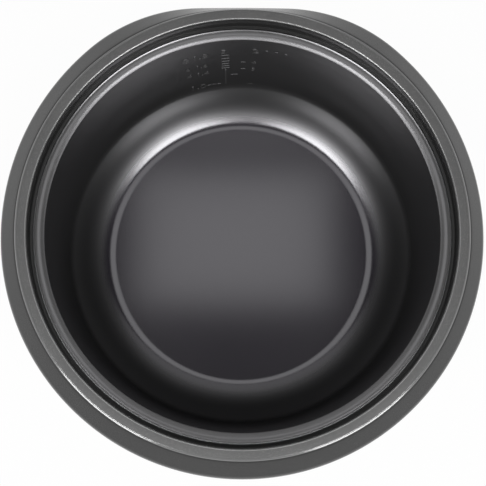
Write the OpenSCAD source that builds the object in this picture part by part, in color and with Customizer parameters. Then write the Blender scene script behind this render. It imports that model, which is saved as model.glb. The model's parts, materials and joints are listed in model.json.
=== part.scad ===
// Table-top rice cooker with its lid off.
// Millimetres. +Z is up and the front is towards -Y. The origin lies on the table, on the pot's axis.

/* [Pot] */
// Inner radius of the pot at its lip
pot_r = 118; // [112:0.5:124]
// Depth from the lip's top to the inner floor
pot_depth = 115; // [100:1:130]
// Thickness of the pot's wall
pot_wall = 2.2; // [1.6:0.1:2.8]
// Thickness of the pot's floor
pot_floor = 3; // [2:0.1:4]
// Inner corner radius between floor and wall
pot_corner = 29.5; // [20:0.5:34]
// How much the wall narrows between the lip and the corner
pot_draft = 1.2; // [0.5:0.1:2.5]
// Width of the lip
lip_w = 6.5; // [5:0.1:8]
// Thickness of the lip
lip_t = 2.4; // [2:0.1:3.2]
// Radius that rounds the lip into the pot
lip_round = 2; // [1:0.1:2]

/* [Top ring] */
// Gap between the lip and the ring around the lid recess
lip_gap = 1.8; // [1.4:0.1:3]
// Height of the ring above the lip
ring_rise = 12.7; // [9:0.1:18]
// Width of the ring's flat band
band_w = 6.2; // [5:0.1:9]
// Wall thickness of the ring
ring_wall = 2.2; // [1.6:0.1:2.6]
// Width of the ledge beside the lip
ledge_w = 1; // [0.6:0.1:1]
// Height of the ledge above the lip
ledge_rise = 0.3; // [0.1:0.1:0.8]
// Depth of the ring's outer skirt
skirt_h = 6.4; // [4:0.1:8]
// Number of screws that hold the ring
ring_screw_count = 6; // [4:1:8]

/* [Shell] */
// Width of the sloping shoulder at the front and sides
shoulder_w = 13; // [9:0.1:20]
// Width of the sloping shoulder at the flat back
back_w = 7.3; // [6:0.1:9]
// Height of the sloping shoulder
shoulder_drop = 18; // [12:0.5:26]
// Half width of the flat back
flat_half = 27; // [20:1:34]
// How much longer the radius of the rear sides is than that of the front
side_extra = 7; // [4:0.5:12]
// Wall thickness of the shell
shell_wall = 2.2; // [1.8:0.1:2.8]
// How much the shell narrows from shoulder to base
shell_draft = 3; // [1:0.25:5]
// Rounding under the shoulder's edge
edge_round = 5; // [3:0.5:8]
// Width of the flange that the base is screwed to
base_flange = 9; // [8:0.5:12]

/* [Base] */
// Height of the rubber feet
foot_h = 6.5; // [5:0.5:10]
// Radius of a rubber foot
foot_r = 9; // [7:0.5:12]
// Radius of the circle that the feet stand on
foot_circle = 108; // [95:1:112]
// Thickness of the base pan
pan_t = 2.5; // [2:0.1:3.5]
// Length of a vent slot in the base
vent_len = 22; // [14:1:28]
// Width of a vent slot in the base
vent_w = 4.5; // [4.2:0.1:6]
// Number of vent slots on each side
vent_count = 7; // [3:1:9]

/* [Inner liner] */
// Space between the base pan and the liner's floor
under_h = 27; // [26:0.5:34]
// Sheet thickness of the liner
liner_t = 0.8; // [0.6:0.1:1.2]
// Gap between the pot and the liner
liner_gap = 2; // [1.5:0.1:3]
// Corner radius of the liner
liner_corner = 12; // [8:0.5:16]
// Gap between the liner's flange and the underside of the lip
flange_gap = 0.8; // [0.5:0.1:1.2]
// Radius of the hole in the liner's floor
liner_hole = 20; // [19.6:0.1:21]

/* [Hot plate] */
// Height of the spacers between the liner and the plate
spacer_h = 17.2; // [16:0.1:22]
// Thickness of the hot plate
plate_t = 6; // [5:0.5:8]
// How far the plate stays inside the pot's flat floor
plate_inset = 1.3; // [0.5:0.1:4]
// Radius of the hole for the thermostat
plate_hole = 22; // [20.5:0.5:25]
// Radius of the heating element's ring
element_ring = 60; // [56:0.5:66]
// Radius of the heating element's tube
element_r = 4; // [3:0.1:4.5]
// Radius of the circle of the plate's screws
plate_screw_circle = 77; // [75:0.5:79]
// Outer radius of a plate spacer
spacer_r = 5; // [4:0.1:6]

/* [Thermostat] */
// Outer radius of the thermostat's cap
cap_r = 18.6; // [18:0.1:19]
// Height of the thermostat's cap
cap_h = 14; // [12:0.5:15]
// Sheet thickness of the cap
cap_t = 1.2; // [0.8:0.1:1.6]
// How far the cap rises when the pot is lifted
cap_travel = 2.5; // [1.5:0.1:3]
// Radius of the magnet and of the ferrite above it
magnet_r = 8.5; // [7:0.1:9.5]
// Height of the ferrite
ferrite_h = 4; // [3:0.1:4.5]
// Height of the magnet
magnet_h = 5; // [4:0.1:5.5]
// Radius of the plunger's rod
plunger_r = 2.5; // [2:0.1:3]
// Radius of the plunger's collars
collar_r = 5; // [4.6:0.1:5.4]
// Travel of the plunger between warm and cook
plunger_travel = 6; // [5:0.1:6.4]
// Wire radius of the outer spring
spring_wire = 0.6; // [0.4:0.05:0.8]

/* [Cook lever] */
// Height of the lever's bar under the liner's floor
bar_drop = 14; // [13.5:0.1:15]
// Height of the lever's pin under the liner's floor
pin_drop = 10; // [9:0.1:10.5]
// Distance of the lever's pin from the plunger
lever_in = 62; // [58:0.5:66]
// Width of the lever's bar
bar_w = 14; // [13:0.5:15]
// Sheet thickness of the lever
bar_t = 1.5; // [1.2:0.1:2]
// Radius of the lever's pin
pin_r = 2; // [1.6:0.1:2.3]
// Width of the cook key
key_w = 22; // [16:0.5:26]
// Height of the cook key
key_h = 10; // [8:0.5:11]
// How far the cook key stands out of the panel
key_out = 3.6; // [2:0.1:5]

/* [Front panel] */
// Width of the front panel
panel_w = 76; // [72:1:90]
// Height of the front panel
panel_h = 64; // [60:1:76]
// Thickness of the front panel
panel_t = 1.6; // [1.2:0.1:2.4]
// Width of an indicator lens
lens_w = 16; // [12:0.5:20]
// Height of an indicator lens
lens_h = 6; // [4:0.1:7]
// Distance of a lens's middle from the panel's middle
lens_x = 16; // [12.5:0.1:16]
// Radius of an indicator lamp
lamp_r = 2.5; // [2:0.1:2.8]

/* [Power inlet] */
// Width of the inlet's socket
inlet_w = 24.4; // [22:0.1:26]
// Height of the inlet's socket
inlet_h = 16.6; // [16.2:0.1:17]
// Depth of the inlet's socket
inlet_depth = 17.5; // [16:0.1:19]
// Wall thickness of the inlet
inlet_wall = 2.2; // [1.8:0.1:2.6]
// How far the inlet's shroud stands out of the back
inlet_out = 9.5; // [6:0.1:12]
// Distance between the two supply pins
inlet_pitch = 14; // [12:0.1:15]

/* [Fits] */
// Gap beside a seated piece
seat_gap = 0.3; // [0.2:0.05:0.4]
// Radial running clearance of pins and rods
run_gap = 0.05; // [0.03:0.01:0.08]
// Radial clearance of a screw's shank
screw_gap = 0.2; // [0.15:0.05:0.3]
// Radius of the small screws' shanks
screw_r = 1.5; // [1.3:0.05:1.7]
// Radius of the internal wires
wire_r = 1.2; // [0.9:0.05:1.3]

/* [Hidden] */

// Circles of large and of small pieces
fine = 120;
small = 32;

// Heights, from the table up
pan_z = foot_h;
pan_top = pan_z + pan_t;
liner_z = pan_top + under_h;
liner_floor = liner_z + liner_t;
plate_z = liner_floor + spacer_h;
seat_z = plate_z + plate_t;
floor_z = seat_z + pot_floor;
lip_z = floor_z + pot_depth;
flange_z = lip_z - lip_t - flange_gap;
ledge_z = lip_z + ledge_rise;
ring_z = lip_z + ring_rise;
skirt_z = ring_z - skirt_h;
edge_z = ring_z - shoulder_drop;
shell_z = pan_z + 0.5;

// Radii, from the pot outwards
flat_r = pot_r - pot_draft - pot_corner;
lip_r = pot_r + lip_w;
liner_r = pot_r + pot_wall + liner_gap;
liner_out = liner_r + liner_t;
ring_r = lip_r + lip_gap;
crease_r = ring_r + band_w;
skirt_r = crease_r - seat_gap;
body_r = crease_r + shoulder_w;
back_y = crease_r + back_w;
flange_r = ring_r + ring_wall + 5;

// Plan of the shell: a round front, longer rear sides, two rear corners and a flat back, all tangent
side_r = body_r + side_extra;
corner_r = (side_r^2 - (flat_half + side_extra)^2 - back_y^2) / (2 * (side_r - back_y));
corner_y = back_y - corner_r;
corner_dir = atan2(corner_y, flat_half + side_extra);
side_end = atan2(corner_y + corner_r * sin(corner_dir), flat_half + corner_r * cos(corner_dir));
corner_end = atan2(back_y, flat_half);

// Distance from the axis to a circle about [cx, cy], along the direction a
function reach(a, cx, cy, r) =
    cx * cos(a) + cy * sin(a) + sqrt(r^2 - (cx * sin(a) - cy * cos(a))^2);
// Distance from the axis to the shell's plan, a measured from +X with the back at 90
function plan(a) =
    let(b = a > 90 && a < 270 ? 180 - a : a > 180 ? a - 360 : a)
    b <= 0 ? body_r
    : b < side_end ? reach(b, -side_extra, 0, side_r)
    : b < corner_end ? reach(b, flat_half, corner_y, corner_r)
    : back_y / sin(b);
// How far the shell's wall stands inside its plan at height z
function draft_at(z) = shell_draft * (edge_z - z) / (edge_z - shell_z);
function wall_r(z) = body_r - draft_at(z);
function wall_y(z) = back_y - draft_at(z);
// Points of an ellipse's arc
function arc(cx, cy, rx, ry, from, to, n) =
    [for (i = [0:n]) let(a = from + (to - from) * i / n) [cx + rx * cos(a), cy + ry * sin(a)]];
function unit(v) = v / norm(v);

// A closed surface through rings of equally many points, the last ring joined to the first if loop is set
module skin(rings, loop = false) {
    n = len(rings[0]);
    last = len(rings) - (loop ? 1 : 2);
    sides = [for (j = [0:last], i = [0:n - 1])
        let(k = (j + 1) % len(rings), m = (i + 1) % n)
        each [[j * n + i, j * n + m, k * n + m], [j * n + i, k * n + m, k * n + i]]];
    caps = loop ? [] : [[for (i = [n - 1:-1:0]) i], [for (i = [0:n - 1]) (last + 1) * n + i]];
    polyhedron([for (r = rings) each r], concat(sides, caps), convexity = 8);
}

// Rings of a round tube along a path, turned as little as possible from one point to the next
function carried(t, side, i = 0) =
    i == len(t) ? [] : let(s = unit(side - (side * t[i]) * t[i])) concat([s], carried(t, s, i + 1));
function tube_rings(path, r, sides) =
    let(n = len(path),
        t = [for (i = [0:n - 1]) unit(path[min(i + 1, n - 1)] - path[max(i - 1, 0)])],
        s = carried(t, abs(t[0].z) > 0.9 ? [1, 0, 0] : [0, 0, 1]))
    [for (i = [0:n - 1]) let(u = cross(t[i], s[i]))
        [for (k = [0:sides - 1]) path[i] + r * (cos(360 * k / sides) * s[i] + sin(360 * k / sides) * u)]];
module tube(path, r, sides = 8) skin(tube_rings(path, r, sides));

// A smooth curve through hand-chosen points, with extra points between each two
function smooth(p, steps) =
    [for (i = [0:len(p) - 2], k = [0:(i == len(p) - 2 ? steps : steps - 1)])
        let(a = p[max(i - 1, 0)], b = p[i], c = p[i + 1], d = p[min(i + 2, len(p) - 1)], t = k / steps)
        0.5 * (2 * b + (c - a) * t + (2 * a - 5 * b + 4 * c - d) * t^2 + (3 * b - a - 3 * c + d) * t^3)];
module wire(points) tube(smooth(points, 3), wire_r);

module spring(r, z0, z1, turns, wire_radius)
    tube([for (i = [0:turns * 14]) let(a = i * 360 / 14)
        [r * cos(a), r * sin(a), z0 + (z1 - z0) * i / (turns * 14)]], wire_radius, 6);

module ring(r_out, r_in, z, h, sides = fine)
    translate([0, 0, z]) difference() {
        cylinder(h = h, r = r_out, $fn = sides);
        translate([0, 0, -1]) cylinder(h = h + 2, r = r_in, $fn = sides);
    }
module block(x, y, z) translate([x[0], y[0], z[0]]) cube([x[1] - x[0], y[1] - y[0], z[1] - z[0]]);
// Copies around the axis
module around(count, r, first = 0)
    for (i = [0:count - 1]) rotate([0, 0, first + 360 * i / count]) translate([r, 0, 0]) children();
// A pan-head screw that points up, its head under z
module screw_up(z, length, r = screw_r) {
    head = 1.9 * r;
    translate([0, 0, z - 1.3 * r]) cylinder(h = 1.3 * r, r = head, $fn = small);
    translate([0, 0, z - 0.01]) cylinder(h = length, r = r, $fn = small);
}
// A plate of w by h with round corners, in the XZ plane, from y0 to y1
module round_plate(w, h, r, y0, y1)
    translate([0, y1, 0]) rotate([90, 0, 0]) linear_extrude(y1 - y0) {
        square([w - 2 * r, h], center = true);
        square([w, h - 2 * r], center = true);
        for (x = [-1, 1], y = [-1, 1]) translate([x * (w / 2 - r), y * (h / 2 - r)]) circle(r, $fn = small);
    }

/* ---- Pot ---- */
// A drawn bowl: flat floor, round corner, slightly flared wall and a flat lip
module pot() color("#3b3b3d") {
    corner_z = floor_z + pot_corner;
    edge = 0.6;
    rotate_extrude($fn = fine) polygon(concat(
        [[0, seat_z]],
        arc(flat_r, corner_z, pot_corner + pot_wall, pot_corner + pot_floor, -90, 0, 10),
        [[pot_r + pot_wall, lip_z - lip_t]],
        arc(lip_r - edge, lip_z - lip_t + edge, edge, edge, -90, 0, 2),
        arc(lip_r - edge, lip_z - edge, edge, edge, 0, 90, 2),
        arc(pot_r + lip_round, lip_z - lip_round, lip_round, lip_round, 90, 180, 5),
        arc(flat_r, corner_z, pot_corner, pot_corner, 0, -90, 10),
        [[0, floor_z]]
    ));
}

/* ---- Casing ---- */
ring_boss_r = 2.8;
ring_boss_circle = ring_r + ring_wall + ring_boss_r - 0.8;
module ring_places() around(ring_screw_count, ring_boss_circle, 30) children();
shell_lip_t = 2.2;
shell_lip_z = skirt_z - shell_lip_t;
shell_lip_r = skirt_r - ring_wall - 1;
ring_boss_h = shell_lip_z - seat_gap - flange_z;

// An inverted channel around the lid recess, its inner wall standing on the liner's flange
module top_ring() color("#6d6f70") {
    round = 0.5;
    rotate_extrude($fn = fine) polygon(concat(
        [[ring_r - ledge_w, flange_z], [ring_r - ledge_w, ledge_z], [ring_r, ledge_z]],
        arc(ring_r + round, ring_z - round, round, round, 180, 90, 2),
        arc(skirt_r - round, ring_z - round, round, round, 90, 0, 2),
        [[skirt_r, skirt_z], [skirt_r - ring_wall, skirt_z], [skirt_r - ring_wall, ring_z - ring_wall],
         [ring_r + ring_wall, ring_z - ring_wall], [ring_r + ring_wall, flange_z]]
    ));
    ring_places() difference() {
        translate([0, 0, flange_z]) cylinder(h = ring_boss_h, r = ring_boss_r, $fn = small);
        translate([0, 0, flange_z - 1]) cylinder(h = ring_boss_h, r = screw_r + screw_gap, $fn = small);
        block([-9, -ring_boss_r + 0.4], [-9, 9], [flange_z - 1, flange_z + ring_boss_h + 1]);
    }
}

// One ring of the shell: mix 0 is the crease's circle, 1 is the plan, and off moves it outwards
shell_sides = 96;
function shell_ring(mix, off, z) =
    [for (i = [0:shell_sides - 1]) let(a = i * 360 / shell_sides,
        r = crease_r + mix * (plan(a) - crease_r) + off) [r * cos(a), r * sin(a), z]];
// The edge under the shoulder, as a curve from the slope into the wall, moved inwards by t
function shell_edge(t) = [for (u = [0:0.25:1])
    let(slope = 0.8, z = ring_z - shoulder_drop)
    shell_ring(slope + (1 - slope) * (2 * u - u^2), -t * u,
        (1 - u)^2 * (ring_z - slope * shoulder_drop) + 2 * u * (1 - u) * z + u^2 * (z - edge_round)
        - t * (1 - u))];
function reversed(v) = [for (i = [len(v) - 1:-1:0]) v[i]];
// Heights at a third and at two thirds of the wall
function wall_row(k) = shell_z + (edge_z - shell_z) * k / 3;
base_round = 3;
inner_off = -shell_draft - shell_wall;
// The shoulder and the wall in one moulding, with a lip under the top ring and a flange over the base pan
module outer_shell() color("#4d4f50") {
    outer = concat(
        [shell_ring(0, 0, ring_z), shell_ring(0.4, 0, ring_z - 0.4 * shoulder_drop)],
        shell_edge(0),
        [shell_ring(1, -draft_at(wall_row(2)), wall_row(2)),
         shell_ring(1, -draft_at(wall_row(1)), wall_row(1)),
         shell_ring(1, -draft_at(shell_z + base_round), shell_z + base_round),
         shell_ring(1, -shell_draft - 0.3 * base_round, shell_z + 0.3 * base_round),
         shell_ring(1, -shell_draft - 0.5 * base_round, shell_z)]);
    inner = concat(
        [shell_ring(1, inner_off, shell_z), shell_ring(1, inner_off, pan_top),
         shell_ring(1, inner_off - base_flange, pan_top),
         shell_ring(1, inner_off - base_flange, pan_top + shell_wall),
         shell_ring(1, inner_off, pan_top + shell_wall),
         shell_ring(1, -draft_at(wall_row(2)) - shell_wall, wall_row(2))],
        reversed(shell_edge(shell_wall)),
        [shell_ring(0, shell_lip_t, shell_lip_z), shell_ring(0, shell_lip_r - crease_r, shell_lip_z),
         shell_ring(0, shell_lip_r - crease_r, skirt_z), shell_ring(0, 0, skirt_z)]);
    difference() {
        skin(reversed(concat(outer, inner)), loop = true);
        block([-panel_hole_w / 2, panel_hole_w / 2], [-body_r - 9, -body_r + 20], panel_hole_z);
        block([-inlet_body_w / 2 - seat_gap, inlet_body_w / 2 + seat_gap], [back_y - 20, back_y + 9],
            [inlet_z - inlet_body_h / 2 - seat_gap, inlet_z + inlet_body_h / 2 + seat_gap]);
        base_screw_places() hole(shell_z - 3, 8, screw_r + screw_gap);
        inlet_screw_holes();
    }
}

// A drawn steel cup with a flange that the top ring stands on
floor_screw_r = 2;
module inner_liner() color("#b8bbbd") {
    c = liner_corner;
    t = liner_t;
    difference() {
        rotate_extrude($fn = fine) polygon(concat(
            [[liner_hole, liner_z]],
            arc(liner_out - c, liner_z + c, c, c, -90, 0, 6),
            [[liner_out, flange_z - t], [flange_r, flange_z - t], [flange_r, flange_z], [liner_r, flange_z]],
            arc(liner_out - c, liner_z + c, c - t, c - t, 0, -90, 6),
            [[liner_hole, liner_floor]]
        ));
        ring_places() hole(flange_z - 3, 6, screw_r + screw_gap);
        plate_places() hole(liner_z - 3, 6, floor_screw_r + screw_gap);
        element_ends() hole(liner_z - 3, 6, element_r + 2);
        rivet_places() hole(liner_z - 3, 6, rivet_r + screw_gap);
        bracket_places() hole(liner_z - 3, 6, screw_r + screw_gap);
        translate([earth_place.x, earth_place.y, 0]) hole(liner_z - 3, 6, floor_screw_r + screw_gap);
    }
}
module hole(z, h, r) translate([0, 0, z]) cylinder(h = h, r = r, $fn = small);

// Base screws and feet stand between the vent slots
base_screw_circle = body_r + inner_off - base_flange / 2;
module base_screw_places()
    for (a = [-135, -45, 20, 160]) rotate([0, 0, a]) translate([base_screw_circle, 0, 0]) children();
module foot_places() around(4, foot_circle, 45) children();
foot_stem_r = 3;
module base_pan() color("#2c2c2e") difference() {
    translate([0, 0, pan_z]) linear_extrude(pan_t) polygon([for (i = [0:shell_sides - 1])
        let(a = i * 360 / shell_sides, r = plan(a) + inner_off - seat_gap - 0.2) [r * cos(a), r * sin(a)]]);
    base_screw_places() hole(pan_z - 1, 9, screw_r + screw_gap);
    foot_places() hole(pan_z - 1, 9, foot_stem_r + 0.1);
    for (side = [0, 180], i = [0:vent_count - 1]) rotate([0, 0, side + (i - (vent_count - 1) / 2) * 10])
        block([foot_circle - vent_len - foot_r - 3, foot_circle - foot_r - 3], [-vent_w / 2, vent_w / 2],
            [pan_z - 1, pan_top + 1]);
}
module base_screws() color("#8d9092") base_screw_places() screw_up(pan_z, pan_t + shell_wall);
module ring_screws() color("#8d9092") ring_places()
    screw_up(flange_z - liner_t, liner_t + ring_boss_h - 1.5);
// A rubber foot with a stem through the pan and a button that holds it
module feet() color("#232324") foot_places() {
    cylinder(h = foot_h, r1 = foot_r - 1, r2 = foot_r, $fn = small);
    translate([0, 0, foot_h - 0.01]) cylinder(h = pan_t + 0.21, r = foot_stem_r, $fn = small);
    translate([0, 0, pan_top + 0.1]) cylinder(h = 1.6, r1 = foot_stem_r + 1, r2 = foot_stem_r, $fn = small);
}

/* ---- Hot plate ---- */
plate_r = flat_r - plate_inset;
boss_h = 2 * element_r;
boss_w = element_r + 4;
element_z = plate_z - boss_h + element_r - 1;
end_angle = 14;
module plate_places() around(3, plate_screw_circle, 90) children();
module element_ends() for (s = [-1, 1])
    rotate([0, 0, 90 + s * end_angle]) translate([element_ring, 0, 0]) children();
// A cast plate with a ring boss underneath that carries the element
module heating_plate() color("#c3c5c7") difference() {
    rotate_extrude($fn = fine) polygon([
        [plate_hole, plate_z], [element_ring - boss_w, plate_z],
        [element_ring - boss_w + 1, plate_z - boss_h], [element_ring + boss_w - 1, plate_z - boss_h],
        [element_ring + boss_w, plate_z],
        [plate_r, plate_z], [plate_r, seat_z - 1], [plate_r - 1, seat_z], [plate_hole + 1, seat_z],
        [plate_hole, seat_z - 1]]);
    rotate_extrude($fn = fine) translate([element_ring, element_z]) circle(element_r + seat_gap, $fn = small);
    rotate_extrude($fn = fine) translate([element_ring - element_r - seat_gap, plate_z - boss_h - 1])
        square([2 * (element_r + seat_gap), element_z - plate_z + boss_h + 1]);
    plate_places() hole(plate_z - 1, plate_t - 1, floor_screw_r + 0.1);
}
// A sheathed tube bent to an open ring, its cold ends turned down through the liner's floor
element_drop = element_z - liner_z + 3;
module heating_element() color("#8b8782") {
    rotate([0, 0, 90 + end_angle]) rotate_extrude(angle = 360 - 2 * end_angle, $fn = fine)
        translate([element_ring, element_z]) circle(element_r, $fn = small);
    element_ends() {
        translate([0, 0, element_z]) sphere(element_r + 0.15, $fn = small);
        translate([0, 0, element_z - element_drop]) cylinder(h = element_drop, r = element_r, $fn = small);
    }
}
pin_len = 6;
module element_pins() color("#c9a55a") element_ends()
    translate([0, 0, element_z - element_drop - pin_len]) cylinder(h = pin_len, r = 1.5, $fn = small);
module plate_spacers() color("#a9abad") plate_places()
    ring(spacer_r, floor_screw_r + screw_gap, liner_floor, spacer_h, small);
module plate_screws() color("#8d9092") plate_places()
    screw_up(liner_z, liner_t + spacer_h + plate_t - 3, floor_screw_r);

/* ---- Magnetic thermostat ---- */
frame_out = cap_r - cap_t + 0.2 - 0.4;
frame_t = 1;
frame_flange = 28;
frame_guide = 2.5;
cap_gap = 0.2;
cap_z = seat_z - cap_gap;
frame_h = cap_z - cap_h + cap_travel + frame_guide - liner_floor;
frame_floor = 1.5;
rivet_r = 1.5;
module rivet_places() around(3, frame_flange - 3.5, 90) children();
// A cup that stands on the liner's floor and guides the cap outside and the plunger inside
module thermostat_frame() color("#9a9c9e") difference() {
    union() {
        ring(frame_out, frame_out - frame_t, liner_floor, frame_h);
        ring(frame_flange, frame_out - frame_t, liner_floor, frame_t);
        ring(frame_out - 0.5, plunger_r + run_gap, liner_floor, frame_floor);
    }
    rivet_places() hole(liner_floor - 1, 4, rivet_r + screw_gap);
    bracket_places() hole(liner_floor - 1, 4, screw_r + screw_gap);
}
module frame_rivets() color("#8d9092") rivet_places() {
    hole(liner_z - 1, 1 + liner_t + frame_t + 0.01, rivet_r);
    hole(liner_z - 1, 1, rivet_r + 1.2);
    hole(liner_floor + frame_t, 0.8, rivet_r + 1.2);
}
module sensor_cap() color("#d0d2d3") {
    ring(cap_r, cap_r - cap_t + 0.2, cap_z - cap_h, cap_h - cap_t);
    translate([0, 0, cap_z - cap_t]) cylinder(h = cap_t, r = cap_r, $fn = fine);
}
module sensor_spring() color("#b5b7b9") spring(frame_out - frame_t - 1.6,
    liner_floor + frame_floor + spring_wire + 0.1, cap_z - cap_t - spring_wire - 0.1, 6, spring_wire);
module ferrite() color("#3a3634") translate([0, 0, cap_z - cap_t - ferrite_h])
    cylinder(h = ferrite_h, r = magnet_r, $fn = small);
magnet_top = cap_z - cap_t - ferrite_h - 0.25 - plunger_travel;
module magnet() color("#55504c") translate([0, 0, magnet_top - magnet_h])
    cylinder(h = magnet_h, r = magnet_r, $fn = small);
bar_z = liner_z - bar_drop;
fork_gap = 1.8;
collar_h = 1.5;
// A rod under the magnet, with two collars that the lever's fork runs between
module plunger() color("#b08d3c") {
    low = bar_z - fork_gap - collar_h;
    translate([0, 0, low]) cylinder(h = magnet_top - magnet_h - low, r = plunger_r, $fn = small);
    translate([0, 0, low]) cylinder(h = collar_h, r = collar_r, $fn = small);
    translate([0, 0, bar_z + fork_gap]) cylinder(h = collar_h, r = collar_r, $fn = small);
}
release_wire = 0.4;
module release_spring() color("#b5b7b9") spring(plunger_r + 1.1,
    bar_z + fork_gap + collar_h + release_wire + 0.1, liner_floor - release_wire - 0.1, 5, release_wire);

/* ---- Cook lever ---- */
pin_z = liner_z - pin_drop;
key_z = pin_z + 5;
ear_t = 1.2;
bracket_x = bar_w / 2 + 4;
key_front = panel_out(key_z) + key_out;
// A pressed bar with a fork at the plunger, two ears at the pin and a raised front
module lever_arm() color("#a6a8aa") difference() {
    union() {
        block([-bar_w / 2, bar_w / 2], [-lever_in + 6, 8], [bar_z - bar_t / 2, bar_z + bar_t / 2]);
        translate([-bar_w / 2, 0, 0]) rotate([90, 0, 90]) linear_extrude(bar_w) polygon([
            [-lever_in + 7, bar_z - bar_t / 2], [-lever_in + 7, bar_z + bar_t / 2],
            [-lever_in - 7, key_z + bar_t / 2], [-lever_in - 7, key_z - bar_t / 2]]);
        block([-bar_w / 2, bar_w / 2], [-key_front + 8, -lever_in - 6],
            [key_z - bar_t / 2, key_z + bar_t / 2]);
        for (x = [-bar_w / 2 - ear_t + 0.01, bar_w / 2 - 0.01]) translate([x, -lever_in, pin_z])
            rotate([0, 90, 0]) cylinder(h = ear_t, r = 5.5, $fn = small);
        block([-bar_w / 2 - ear_t, bar_w / 2 + ear_t], [-lever_in + 6, -lever_in + 12],
            [bar_z - bar_t / 2, bar_z + bar_t / 2]);
        for (x = [-bar_w / 2 - ear_t, bar_w / 2]) block([x, x + ear_t], [-lever_in + 3, -lever_in + 6],
            [bar_z - bar_t / 2, bar_z + bar_t / 2]);
    }
    block([-plunger_r - 0.6, plunger_r + 0.6], [-plunger_r - 1, 9], [bar_z - 5, bar_z + 5]);
    translate([-50, -lever_in, pin_z]) rotate([0, 90, 0]) cylinder(h = 100, r = pin_r + run_gap, $fn = small);
}
// The key that a finger presses, a moulded block on the front of the bar
module cook_key() color("#2f3031") difference() {
    translate([0, 0, key_z]) round_plate(key_w, key_h, 1.5, -key_front, -key_front + 14);
    block([-bar_w / 2 - 0.1, bar_w / 2 + 0.1], [-key_front + 8 - 0.1, 0],
        [key_z - bar_t / 2 - 0.1, key_z + bar_t / 2 + 0.1]);
}
module lever_pin() color("#8d9092") translate([0, -lever_in, pin_z]) rotate([0, 90, 0]) {
    long = bracket_x + ear_t + 1;
    translate([0, 0, -long]) cylinder(h = 2 * long, r = pin_r, $fn = small);
    for (z = [-long - 0.8, long - 0.01]) translate([0, 0, z]) cylinder(h = 0.81, r = pin_r + 1, $fn = small);
}
bracket_t = 1.2;
bracket_z = liner_z - bracket_t;
switch_y = [-52, -28] + [62 - lever_in, 62 - lever_in];
button_y = -lever_in + 29;
module bracket_places() for (p = [[-6, -lever_in - 9], [6, switch_y[1] + 4]])
    translate([p.x, p.y, 0]) children();
// A strap under the liner's floor that holds the lever's pin and the switch
module lever_bracket() color("#a6a8aa") difference() {
    union() {
        block([-bracket_x - ear_t, bracket_x + ear_t], [-lever_in - 13, switch_y[1] + 8],
            [bracket_z, liner_z]);
        for (x = [-bracket_x - ear_t, bracket_x])
            block([x, x + ear_t], [-lever_in - 6, -lever_in + 6], [pin_z - 4.5, liner_z]);
        block([switch_w / 2 + 0.1, switch_w / 2 + 0.1 + ear_t], [switch_y[0] + 2, switch_y[1]],
            [switch_z, liner_z]);
    }
    translate([-50, -lever_in, pin_z]) rotate([0, 90, 0]) cylinder(h = 100, r = pin_r + run_gap, $fn = small);
    bracket_places() hole(bracket_z - 1, 4, screw_r + screw_gap);
    switch_holes(screw_r - 0.3 + screw_gap);
}
module bracket_screws() color("#8d9092") bracket_places() screw_up(bracket_z, bracket_t + liner_t + 1.4);

/* ---- Switch ---- */
switch_w = 10;
switch_h = 7.4;
switch_z = bracket_z - switch_h;
button_r = 1.6;
button_rest = bar_z + bar_t / 2 + 0.55;
tab_z = switch_z + 3.2;
switch_screw_y = [switch_y[0] + 5, button_y - 7];
module switch_holes(r) for (y = switch_screw_y)
    translate([-20, y, switch_z + 5.2]) rotate([0, 90, 0]) cylinder(h = 40, r = r, $fn = small);
module switch_body() color("#1d1d20") difference() {
    block([-switch_w / 2, switch_w / 2], switch_y, [switch_z, bracket_z]);
    translate([0, button_y, switch_z - 1]) cylinder(h = 6.2, r = button_r + 0.05, $fn = small);
    switch_holes(screw_r - 0.3 + 0.1);
}
module switch_button() color("#b5322b") translate([0, button_y, button_rest])
    cylinder(h = switch_z - button_rest + 2.4, r = button_r, $fn = small);
tab_y = [switch_y[0] + 2, (switch_y[0] + switch_y[1]) / 2, switch_y[1] - 2];
module switch_tabs() color("#c9a55a")
    for (y = tab_y) block([-switch_w / 2 - 7, -switch_w / 2], [y - 1.6, y + 1.6], [tab_z - 2.8, tab_z - 2]);
module switch_screws() color("#8d9092") for (y = switch_screw_y)
    translate([switch_w / 2 + 0.1 + ear_t, y, switch_z + 5.2]) rotate([0, -90, 0]) {
        translate([0, 0, -1.2]) cylinder(h = 1.2, r = 2, $fn = small);
        cylinder(h = switch_w + ear_t, r = screw_r - 0.3, $fn = small);
    }

/* ---- Keep-warm parts and fuse ---- */
warm_place = [52, 18];
// A bimetal disc switch under the liner's floor
module warm_thermostat() color("#6b4a36") translate([warm_place.x, warm_place.y, 0]) {
    translate([0, 0, liner_z - 5]) cylinder(h = 5, r = 8, $fn = small);
    block([-9.5, 9.5], [-2, 2], [liner_z - 3.4, liner_z - 2.6]);
    hole(liner_z - 6, 1.01, 4);
}
band_z = liner_z + (flange_z - liner_z) * 0.45;
band_h = 26;
band_t = 1.5;
band_half = 62;
// A thin heater wrapped around the front of the liner
module warm_heater() color("#8c5a3c")
    wrap(band_half, liner_out + 0.1, band_t - 0.1, band_z - band_h / 2, band_h);
strap_w = 4;
strap_t = 0.6;
// An upright band that follows the liner, centred on the front
module wrap(half, r, t, z, h) rotate([0, 0, -90 - half]) rotate_extrude(angle = 2 * half, $fn = fine)
    translate([r, z]) square([t, h]);
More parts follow.
